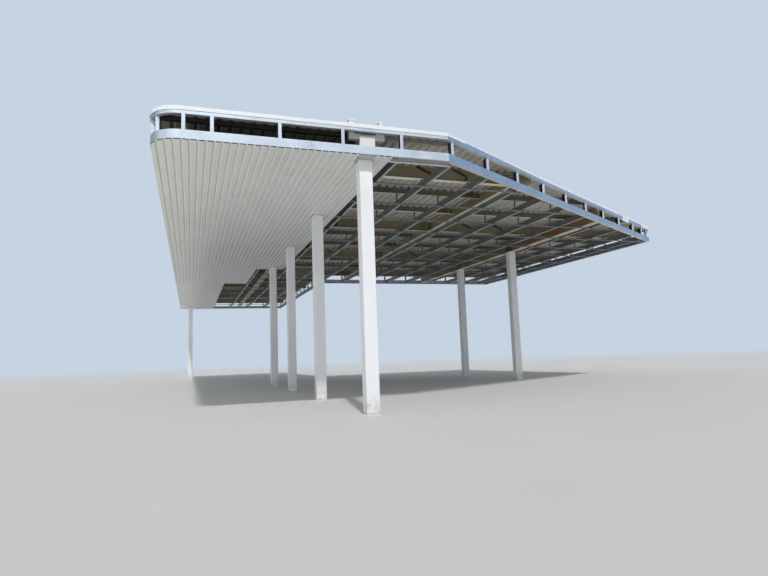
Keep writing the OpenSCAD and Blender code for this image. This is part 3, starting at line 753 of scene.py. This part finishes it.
stops = [0.71, 2.2, 3.6, 5.0, slant_len - 0.15, slant_len]
swept(strip, [(OUTLINE[SLANT] + t * along_of(SLANT),
               inward(SLANT) if t < slant_len else mitre(RIGHT),
               0.016 + 0.056 * min(1.0, t / 5.0)) for t in stops], strip_section)
for k in (RIGHT, BACK, INNER):
    swept(strip, [(p, m, 0.072) for p, m, _ in side_path(k)], strip_section)
strip.build("edge_strip", "coping", "coping_paint")

# Return lips of the fascia channels
lips = Shape()
for low, falls in ((CARRIER + 0.0035, 0), (BOTTOM_TOP - 0.018, 0), (TOP_CHANNEL + 0.0035, 1),
                   (DECK - 0.018, 0)):
    all_round(lips, lambda drop: rect(0.0965, 0.0995, low - falls * drop,
                                      low - falls * drop + 0.0145))
lips.build("fascia_lips", "fascia", "galvanised")

# Posts of the fascia, with the screws that hold them in the channels
posts = [(FRONT, x - CORNER) for x in [0.635] + [r for r in RUNNERS if 0.78 < r < KINK_X - POST]]
for k, n in ((RIGHT, 11), (INNER, 12), (LEFT, 27)):
    clear = side_len(k) - 2 * FRAME
    posts += [(k, FRAME + i * clear / n) for i in range(n + 1)]
posts += [(BACK, WIDTH - x) for x in RUNNERS if x > TAIL]
posts += [(FAR, TAIL - x) for x in RUNNERS[:5]]
slant_xs = [KINK_X + 0.185, *(x - POST / 3 for x in RUNNERS[:13] if x > KINK_X + 0.675),
            WIDTH - 0.71]
posts += [(SLANT, (x - KINK_X) * slant_len / (WIDTH - KINK_X)) for x in slant_xs]
post_screws, cleats = Shape(), Shape()
CLEAT = [(0.0385, 0.0005), (0.075, 0.0005), (0.075, 0.003), (0.041, 0.003), (0.041, 0.05),
         (0.0385, 0.05)]
for k, s in posts:
    u, n, top = fascia_at(k, s)
    out = (-n[0], -n[1], 0)
    for ds in (-0.02, 0.02):
        for z in (BOTTOM_TOP - 0.028, top + 0.028):
            post_screws.put(SCREW, at(k, s + ds, 0.0, z), out, random.uniform(0, 1))
        post_screws.put(SCREW, at(k, s + ds * 0.6, 0.0, DECK - 0.02), out, random.uniform(0, 1))
    # Folded cleat at the foot and the head of the post, inside the frame
    for z, up in ((BOTTOM_TOP, 1), (top, -1)):
        cleats.along(at(k, s, 0.0, z), u, (0, 0, up), n, CLEAT, 0.02, 0.08)
        for d in (0.035, 0.065):
            p = at(k, s + 0.058, d, z + up * 0.003)
            post_screws.put(SCREW, p, (0, 0, up), d * 9)
# Dark plates on the posts' left flanks: painted shade for the shaded inside of the open posts
hollows = Shape()
for k, s in posts:
    p = at(k, s, 0.05, 0)
    if k not in (FRONT, SLANT) or p[0] < 1:
        continue
    y0, y1 = (p[1] - 0.029, p[1] + 0.126) if k == SLANT else (0.004, 0.098)
    for row in ROWS:
        if 0 < row - p[1] < 0.25:
            y1 = min(y1, row - 0.09)
    x = p[0] - POST / 2
    hollows.box(x - 0.003, x - 0.0005, y0, y1, BOTTOM_TOP + 0.012,
                TOP_CHANNEL - drop_at(k, s) - 0.004)
hollows.build("post_hollow_sides", "hollow", "galvanised")
post_screws.build("fascia_screws")
cleats.build("post_cleats", "fascia", "galvanised")

# Joints of the fascia channels: a sealed butt and a sleeve plate on the inside
joints, joint_screws, sleeves = Shape(), Shape(), Shape()
JOINTS = [(FRONT, 2.62), (FRONT, side_len(FRONT) - 0.13), (SLANT, 4.9), (SLANT, 9.7),
          (RIGHT, 4.6), (RIGHT, 9.3), (BACK, 5.4), (INNER, 5.2), (INNER, 10.7), (FAR, 3.6)]
JOINTS += [(LEFT, 6.0 * i - 0.6) for i in range(1, 6)]
for k, s in JOINTS:
    u, n, top = fascia_at(k, s)
    o = at(k, s, 0.0, 0.0)
    end = COPING - COPING_H if k in (FRONT, FAR, LEFT) else OPEN_UPSTAND - 0.08
    for z0, z1, heights in ((CARRIER + 0.001, BOTTOM_TOP - 0.001, 3), (top + 0.001, end, 2)):
        joints.along(o, u, n, UP, rect(-0.0016, 0.0016, -0.0005, 0.001), z0, z1)
        sleeves.along(o, u, n, UP, rect(-0.09, 0.09, 0.0042, 0.0062), z0 + 0.006,
                      z1 - 0.006 if z1 < DECK else DECK - 0.006)
        zs = [z0 + 0.03, (z0 + z1) / 2, z1 - 0.03] if heights == 3 else [z0 + 0.03, z0 + 0.08]
        for z in zs:
            for ds in (-0.045, 0.045):
                joint_screws.put(SCREW, at(k, s + ds, 0.0, z), (-n[0], -n[1], 0), z * 7)
# Bent tab under the channel where the slanted edge starts
tab = Shape()
swept(tab, [(OUTLINE[SLANT] + t * along_of(SLANT), inward(SLANT), 0) for t in (0.015, 0.05)],
      lambda drop: [(d, CARRIER - z) for d, z in (
          (0.012, 0.0005), (0.030, 0.0005), (0.036, 0.045), (0.034, 0.0455), (0.0285, 0.0025),
          (0.012, 0.0025))])
tab.build("kink_tab", "fascia", "galvanised")
joints.build("fascia_joint_seals", "sealant_and_shade", "galvanised")
sleeves.build("fascia_sleeves", "fascia", "galvanised")
joint_screws.build("fascia_joint_screws")

# Ceiling sheets: side laps and screws into the carriers
laps, sheet_screws = Shape(), Shape()
for row, fitted in enumerate(FITTED):
    y0, y1 = row * SHEET, (row + 1) * SHEET - 0.002
    a, b = max(y0, 0.006), min(y1, LENGTH - 0.006)
    for i in range(1, fitted):
        x = i * COVER
        laps.box(x - 0.002, x + 0.024, a, b, CEILING - 0.0014, CEILING - 0.0002)
    for y in CARRIERS:
        if not y0 + 0.02 < y < y1 - 0.02:
            continue
        for i in range(fitted):
            for dx in (FLAT_MIDDLE, FLAT_MIDDLE + 4 * RIB, COVER - RIB + FLAT_MIDDLE):
                x = i * COVER + dx
                if not 0.05 <= x <= right_end(y, 0.05) or y < front_end(x, 0.03) or any(
                        max(abs(x - cx), abs(y - cy)) < 0.2 for cx, cy in COLUMNS + TAIL_COLUMNS):
                    continue
                for dy in (-0.032, 0.032):
                    sheet_screws.put(SCREW, (x, y + dy, CEILING), DOWN, x + y)

# Flashing behind the front fascia, right of the fitted sheets, with its lip and a slot in it
flashing = Shape()
low, high = CARRIER - 0.0032, CARRIER - 0.0014
x0, x1 = 4 * COVER + 0.0055, 6.53
ring = [(x0, 0.102), (5.04, 0.102), (5.04, 0.150), (5.17, 0.150), (5.17, 0.102), (6.40, 0.102),
        (x1, 0.33), (x0, 0.33)]
flashing.loft([[(x, y, z) for x, y in ring] for z in (low, high)])
flashing.build("front_flashing", "flashing", "galvanised")
# The lip's near white tone is painted light
lip = Shape()
lip.along_x([(0.312, low - 0.0012), (0.333, low - 0.0172), (0.3345, low - 0.016), (0.3125, low)],
            x0, x1)
lip.build("front_flashing_lip", "bright_zinc", "galvanised")
# Painted shade: a near black sheet behind the slot
slot_back = Shape()
slot_back.box(5.03, 5.18, 0.1025, 0.155, high + 0.0002, high + 0.0010)
slot_back.build("flashing_slot", "hollow", "galvanised")

# Zinc patch on the sheets in front of the first column
patch = Shape()
patch.along_x([(y, CEILING + z) for y, z in (
    (0.0045, -0.0022), (0.262, -0.0022), (0.262, -0.0004), (0.0062, -0.0004), (0.0062, 0.0235),
    (0.0045, 0.0235))], 4.255, 4.612)
for x in (4.28, 4.43, 4.585):
    for y in (0.03, 0.235):
        sheet_screws.put(SCREW, (x, y, CEILING - 0.0022), DOWN, x)
patch.build("ceiling_patch", "grid", "galvanised")

# Dark closures in the ribs' front ends, apart from the ribs behind the patch; their near black is
# painted shade for the gaps above the flats
closures = Shape()
for i in range(2, 32):
    x = i * RIB
    if 4.18 < x < 4.62:
        continue
    ring = [(x + a, z) for a, z in ((0.0005, CEILING + 0.0033), (0.1015, CEILING + 0.0033),
                                    (0.1120, CARRIER - 0.0006), (-0.0100, CARRIER - 0.0006))]
    closures.loft([[(a, corner_edge(a) + y, z) for a, z in ring] for y in (0.012, 0.034)])
closures.build("sheet_closures", "hollow", "galvanised")

# Dark collars in the holes round the columns, and a dark strip in the open slit beside the first
# one as painted shade
collars = Shape()
for cx, cy in COLUMNS[:4] + TAIL_COLUMNS[:1]:
    a, b, z0, z1 = 0.1735, 0.1505, CEILING + 0.0005, CEILING + 0.0045
    for x0, x1, y0, y1 in ((-a, -b, -a, a), (b, a, -a, a), (-b, b, -a, -b), (-b, b, b, a)):
        collars.box(cx + x0, cx + x1, cy + y0, cy + y1, z0, z1)
collars.box(4.232, 4.2535, 0.09, 0.47, CEILING - 0.0018, CEILING - 0.0003)
collars.build("column_collars", "sealant_and_shade", "ceiling_paint")
laps.build("ceiling_laps", "ceiling", "ceiling_paint")
sheet_screws.build("ceiling_screws")

# Ceiling grid: lips on the runners, screws where carriers cross them, hanger bolts
runner_lips, grid_screws, hanger_bolts, plates = Shape(), Shape(), Shape(), Shape()
INSET, RUNNER_WIDTH = 0.1006, 0.06
for x in RUNNERS:
    long = x < TAIL - 0.22
    y0 = front_end(x if x < KINK_X else x + RUNNER_WIDTH, INSET)
    y1 = (LENGTH if long else MAIN) - INSET
    for z in (RUNNER + 0.0035, RUNNER_TOP - 0.0155):
        runner_lips.box(x + 0.057, x + 0.060, y0, y1, z, z + 0.012)
    for y in CARRIERS:
        if y0 + 0.05 < y < y1 - 0.05:
            for dx in (0.02, 0.045):
                dy = 0.035 if dx < 0.03 else -0.035
                grid_screws.put(SCREW, (x + dx, y + dy, RUNNER), DOWN, x * y)
    for k, y in enumerate(ROWS):
        main = y < MAIN - FRAME
        if x + 0.26 >= min(WIDTH, slant_x(y - 0.1)) if main else not long:
            continue
        middle = abs(x + 0.03 - MIDDLE_X) < 0.105
        top = CROSS if k in CROSS_ROWS or middle else PURLIN
        plates.box(x + 0.004, x + 0.056, y - 0.032, y + 0.032,
                   RUNNER_TOP + 0.0002, RUNNER_TOP + 0.005, 0.001)
        hanger_bolts.put(BOLT12, (x + 0.042, y + 0.012, RUNNER_TOP + 0.005), UP, x)
        if top - RUNNER_TOP > 0.1:
            plates.box(x, x + RUNNER_WIDTH, y - 0.034, y + 0.034, top - 0.0052, top - 0.0002, 0.001)
            hanger_bolts.put(BOLT12, (x + 0.042, y + 0.012, top - 0.0052), DOWN, y)
runner_lips.build("runner_lips", "grid", "galvanised")
grid_screws.build("grid_screws")
plates.build("hanger_plates", "hanger", "hanger_steel")
hanger_bolts.build("hanger_bolts")

# Steelwork: fin plates and bolts where the rows meet the beams along Y, and web stiffeners
fins, fin_bolts, stiffeners, welds = Shape(), Shape(), Shape(), Shape()


def fin(x, side, k, web, flange_half):
    """Plate welded to the web at x, beside the web of row k, on side -1 or +1 of the beam."""
    y = ROWS[k]
    deep = k in CROSS_ROWS
    z0, z1 = (CROSS + 0.045, DECK - 0.045) if deep else (PURLIN + 0.03, DECK - 0.03)
    web2 = 0.004 if deep else 0.003
    a, b = x + side * web / 2, x + side * (flange_half + (0.13 if deep else 0.1))
    fins.box(a, b, y + web2 + 0.0003, y + web2 + 0.0103, z0, z1, 0.0015)
    r, bolt_part, nut_part = (0.02, BOLT20, NUT20) if deep else (0.016, BOLT16, NUT16)
    n, end = (3, 0.035) if deep else (2, 0.03)
    rows = [z0 + end + i * (z1 - z0 - 2 * end) / (n - 1) for i in range(n)]
    for inset in (0.035, 0.095) if deep else (0.035,):
        bx = b - side * inset
        for z in rows:
            fin_bolts.put(bolt_part, (bx, y + web2 + 0.0103, z), (0, 1, 0), z * 5)
            fin_bolts.put(nut_part, (bx, y - web2, z), (0, -1, 0), z * 3)


for k, y in enumerate(ROWS):
    main = y < MAIN - FRAME
    for side in (-1, 1):
        if k < 17:
            fin(LEFT_X, side, k, MAIN_WEB, MAIN_HALF)
    if main:
        for bx, web, half in ((MIDDLE_X, CROSS_WEB, CROSS_HALF), (RIGHT_X, MAIN_WEB, MAIN_HALF)):
            if y > front_end(bx, 0.1) + 0.3:
                for side in (-1, 1):
                    if bx + side * 0.3 < right_end(y, 0.12) and (bx != MIDDLE_X or k):
                        fin(bx, side, k, web, half)
for cx, cy in COLUMNS[1:]:
    for y in (cy - 0.14, cy + 0.14):
        for side in (-1, 1):
            stiffeners.box(cx + side * 0.0065, cx + side * 0.148, y - 0.006, y + 0.006,
                           BEAM + 0.025, DECK - 0.025, 0.0015)
# End plate of the middle beam on the first cross beam
y0 = ROWS[0] + CROSS_WEB / 2 + 0.0005
fins.box(MIDDLE_X - 0.083, MIDDLE_X + 0.083, y0, y0 + 0.012, CROSS + 0.012, DECK - 0.012, 0.0015)
for z in (CROSS + 0.07, CROSS + 0.18, CROSS + 0.29):
    for dx in (-0.045, 0.045):
        fin_bolts.put(BOLT20, (MIDDLE_X + dx, ROWS[0] - 0.004, z), (0, -1, 0), z * 5)
stiffeners.build("web_stiffeners", "left_beam", "beam_paint")
fins.build("fin_plates", "cross", "beam_paint")
fin_bolts.build("fin_plate_bolts")

# Z-section bearer between the middle beam and the runner below it
bearer, bearer_bolts = Shape(), Shape()
x0 = RUNNERS[6] - 0.0005
stops = [ROWS[0] + 0.02, *ROWS[1:10], MAIN - 0.16]
low = RUNNER_TOP - 0.031
bearer.box(x0 - 0.078, x0 - 0.006, stops[0], stops[-1], low, low + 0.007)
bearer.box(x0 - 0.006, x0, stops[0], stops[-1], low, CROSS - 0.0005)
for a, b in zip(stops, stops[1:]):
    bearer.box(x0, x0 + 0.12, a + 0.045, b - 0.045, CROSS - 0.0065, CROSS - 0.0005)
    for y in (a + 0.3, b - 0.3):
        bearer_bolts.put(BOLT16, (x0 - 0.006, y, RUNNER_TOP + 0.02), (-1, 0, 0), y)
        bearer_bolts.put(BOLT16, (x0 + 0.075, y, CROSS - 0.0065), DOWN, y)
bearer.build("middle_bearer", "bearer", "beam_paint")
bearer_bolts.build("middle_bearer_bolts")

# Short cranked angles on the webs of some cross beams
braces = Shape()
ANGLE = [(0, 0), (0.04, 0), (0.04, 0.005), (0.005, 0.005), (0.005, 0.045), (0, 0.045)]
for k, xs in ((0, (6.44, 7.50)), (3, (5.30, 10.68, 12.03)), (6, (6.65, 10.68))):
    for x in xs:
        y = ROWS[k] - 0.05
        knee = (x + 0.44, 6.0)
        for (xa, za), (xb, zb) in (((x, 6.188), knee), (knee, (x + 0.30, 5.885))):
            u = np.array([xb - xa, 0, zb - za])
            n = length(u)
            braces.along((xa, y, za), (0, 1, 0), np.cross(u / n, (0, 1, 0)), u / n, ANGLE, 0, n)
braces.build("cross_beam_braces", "brace", "hanger_steel")

# End plate of the left main beam on the first column's head, and the plates on the head arms
head, head_bolts, caps = Shape(), Shape(), Shape()
ARM_LOW, ARM_TOP, STUB_DX, STUB_Y = 5.985, 6.135, 0.345, 0.205
head.box(LEFT_X - 0.149, LEFT_X + 0.149, 0.5805, 0.6005, BEAM + 0.026, DECK - 0.026, 0.002)
for z in (BEAM + 0.09, BEAM + 0.22, BEAM + 0.36, BEAM + 0.5):
    for sx in (-0.1, 0.1):
        head_bolts.put(BOLT20, (LEFT_X + sx, 0.6005, z), (0, 1, 0), z)
for s in (-1, 1):
    for dx in (0.4095, 0.290):
        for y0, y1 in ((0.1315, 0.1995), (0.2105, 0.2785)):
            head.box(LEFT_X + s * dx, LEFT_X + s * (dx - 0.011), y0, y1,
                     ARM_LOW + 0.011, ARM_TOP - 0.0105, 0.0015)
    x, y, r = LEFT_X + s * STUB_DX, STUB_Y, 0.062
    head.box(x - r, x + r, y - r, y + r, ARM_TOP + 0.0002, ARM_TOP + 0.0082, 0.0015)
    for dx in (-0.054, 0.054):
        for by in (y - 0.053, y + 0.053):
            head_bolts.put(BOLT12, (x + dx, by, ARM_TOP + 0.0082), UP, by)
    r, a, b = 0.0615, 0.0505, 0.0503
    for x0, x1, y0, y1 in ((-r, r, -r, -a), (-r, r, a, r), (-r, -a, -b, b), (a, r, -b, b)):
        caps.box(x + x0, x + x1, y + y0, y + y1, 6.402, 6.4335, 0.0015)
# Painted shade: a near black plate on the front of the arms stands in for the shaded slot above
# them
slot = Shape()
slot.box(LEFT_X - 0.292, LEFT_X + 0.20, 0.1262, 0.1292, ARM_TOP - 0.036, ARM_TOP - 0.0015)
slot.build("column_head_slot", "hollow", "beam_paint")
caps.build("stub_cap_lips", "coping", "column_paint")
head.build("column_head_plates", "head", "beam_paint")
head_bolts.build("column_head_bolts")


# Welds round the columns, at the foot and under the beams
def bead(x, y, z, r, up, half=0.15):
    """A rippled fillet round a square tube."""
    e, pts = 0.02, []
    c = half - e
    for cx, cy, a0 in ((c, -c, -90), (c, c, 0), (-c, c, 90), (-c, -c, 180)):
        for i in range(4):
            a = radians(a0 + i * 30)
            pts.append((cx + e * cos(a), cy + e * sin(a), cos(a), sin(a)))
    dense = []
    for i, p in enumerate(pts):
        q = pts[(i + 1) % len(pts)]
        n = max(1, int(hypot(q[0] - p[0], q[1] - p[1]) / 0.012))
        for j in range(n):
            f = j / n
            dense.append([u + f * (v - u) for u, v in zip(p, q)])
    rings = []
    for i, (px, py, nx, ny) in enumerate(dense + dense[:1]):
        w = r * (1 + 0.16 * sin(i * 2.4))
        rings.append([(x + px + nx * a, y + py + ny * a, z + up * b) for a, b in (
            (-0.001, 0.0002), (w, 0.0002), (w * 0.55, w * 0.5), (-0.001, w))])
    welds.loft(rings, caps=False)


for cx, cy in COLUMNS + TAIL_COLUMNS:
    bead(cx, cy, 0.0, 0.012, 1)
for cx, cy in COLUMNS[1:]:
    bead(cx, cy, BEAM, 0.009, -1)
for cx, cy in TAIL_COLUMNS:
    bead(cx, cy, CROSS, 0.009, -1)
welds.build("column_welds", "weld", "column_paint", smooth=True)

# Roof deck: side laps, end laps, screws on top of the purlins
deck_laps, deck_screws, fillers = Shape(), Shape(), Shape()


def deck_profile(x0, x1, lift):
    """Top face of the deck from x0 to x1, as (x, z)."""
    rib = ((0, 0.003), (LOW, 0.003), (LOW + RISE, HEIGHT), (LOW + RISE + HIGH, HEIGHT))
    xs, zs = zip(*((k * PITCH + dx, dz) for k in range(int(x0 / PITCH) - 1, int(x1 / PITCH) + 2)
                   for dx, dz in rib))
    folds = [x for x in xs if x0 + 1e-6 < x < x1 - 1e-6]
    return [(x, DECK + np.interp(x, xs, zs) + lift) for x in (x0, *folds, x1)]


def lap_band(x0, x1, y0, y1):
    """A sheet's end that laps over the next one."""
    low, high = deck_profile(x0, x1, 0.0001), deck_profile(x0, x1, 0.0012)
    deck_laps.loft([[(x, y, z) for x, z in low + high[::-1]] for y in (y0, y1)])


for y in (ROWS[3], ROWS[6], ROWS[12]):
    lap_band(DECK_EDGE, right_end(y - 0.1, DECK_EDGE), y - 0.1, y + 0.1)
lap_band(DECK_EDGE, TAIL - DECK_EDGE, MAIN + 0.002, MAIN + 0.12)
for i in range(1, 21):
    x = i * DECK_COVER
    y1 = LENGTH if x < TAIL - 0.1 else MAIN
    deck_laps.box(x + 0.004, x + 0.040, front_end(x + 0.04, DECK_EDGE), y1 - DECK_EDGE,
                  DECK + 0.0031, DECK + 0.0042)
# Dark fillers in the ribs over each row, with a dark clip in front where no beam runs below:
# painted shade for the shaded rib openings
for k, y in enumerate(ROWS):
    for x in np.arange(DECK_EDGE + PITCH, right_end(y, 0.12), 2 * PITCH):
        deck_screws.put(SCREW, (x, y, DECK + 0.003), UP, x)
    front = y - (0.083 if k in CROSS_ROWS else 0.0435)
    for x in np.arange(PITCH, right_end(front, 0.125) - PITCH, PITCH):
        ring = [(x + a, DECK + z) for a, z in (
            (LOW + 0.003, 0.0006), (PITCH - 0.003, 0.0006), (PITCH - RISE - 0.001, 0.0422),
            (LOW + RISE + 0.001, 0.0422))]
        fillers.loft([[(a, b, z) for a, z in ring] for b in (front, front + 0.028)])
        if all(abs(x + LOW + 0.057 - bx) > 0.23 for bx in (LEFT_X, MIDDLE_X, RIGHT_X)):
            fillers.box(x + LOW + 0.030, x + LOW + 0.085, front - 0.0125, front - 0.0025,
                        DECK - 0.030, DECK - 0.0004, 0.001)
fillers.build("deck_rib_fillers", "sealant_and_shade", "deck_steel")
deck_laps.build("deck_laps", "deck", "deck_steel")
deck_screws.build("deck_screws")


# Floor, backdrop, light and camera
k = Look("pale_floor")
k.done(k.mix(k.noise(0.6, 4), (0.72, 0.72, 0.71), (0.76, 0.76, 0.75)), 0.85)
far = k.node("ShaderNodeVectorMath", k.scaled((1, 1, 0)), operation="LENGTH")
glow = k.node("ShaderNodeEmission", (*BACKDROP, 1))
fade = k.times(k.fit(far.outputs["Value"], 30, 110), k.in_view())
k.blend(fade, k.bsdf, glow, k.out)
mesh = bpy.data.meshes.new("floor")
radius, sides = 400, 64
ring = [(radius * cos(a), radius * sin(a), -0.0005) for a in np.arange(sides) * 2 * pi / sides]
mesh.from_pydata(ring, [], [list(range(sides))])
mesh.materials.append(k.mat)
floor = new_object("floor", mesh)

world = bpy.data.worlds.new("studio")
bpy.context.scene.world = world
world.use_nodes = True
sky = Nodes(world.node_tree)
soft = sky.node("ShaderNodeBackground", (0.92, 0.96, 1.0, 1), 0.36)
plain = sky.node("ShaderNodeBackground", (*BACKDROP, 1), 1.0)
sky.blend(sky.in_view(), soft, plain, sky.node("ShaderNodeOutputWorld"))


def lamp(name, kind, energy, place, target, **props):
    data = bpy.data.lights.new(name, kind)
    data.energy = energy
    for key, value in props.items():
        setattr(data, key, value)
    obj = new_object(name, data)
    obj.location = place
    obj.rotation_euler = (Vector(target) - Vector(place)).to_track_quat("-Z", "Y").to_euler()
    return obj


# The key stands where the photo's shadows put the sun, and the fill lifts the shaded columns
az, el = radians(-10), radians(44)
sun_from = Vector((sin(az) * cos(el), -cos(az) * cos(el), sin(el)))
lamp("key", "SUN", 1.85, sun_from * 60, (0, 0, 0), angle=radians(3), color=(1.0, 0.985, 0.955))
az = radians(-30)
lamp("front_fill", "SUN", 0.38, Vector((sin(az), -cos(az), 0.18)) * 60, (0, 0, 0),
     angle=radians(40), color=(0.95, 0.97, 1.0))
fill = lamp("bounce", "AREA", 900, (-20, -4, 0.02), (-20, -4, 5), shape="RECTANGLE", size=22,
            size_y=44, color=(1.0, 0.985, 0.95))
fill.visible_camera = False
fill.visible_glossy = False
fill.visible_transmission = False

cam = bpy.data.cameras.new("photo_view")
cam.sensor_fit = "HORIZONTAL"
cam.sensor_width = 36.0
cam.lens = 564.284 / 768 * 36.0
cam.clip_start, cam.clip_end = 0.05, 2000
yaw, pitch, roll = 0.3317, 0.12, -0.0357
fwd = Vector((sin(yaw) * cos(pitch), cos(yaw) * cos(pitch), sin(pitch)))
right = Vector((cos(yaw), -sin(yaw), 0))
up = right.cross(fwd)
r2 = cos(roll) * right + sin(roll) * up
u2 = -sin(roll) * right + cos(roll) * up
camera = new_object("photo_view", cam)
rot = Matrix((r2, u2, -fwd)).transposed().to_4x4()
camera.matrix_world = Matrix.Translation((0.8 - WIDTH / 2, -11.28 - LENGTH / 2, 1.224)) @ rot
bpy.context.scene.camera = camera
bpy.context.scene.view_settings.view_transform = "Standard"
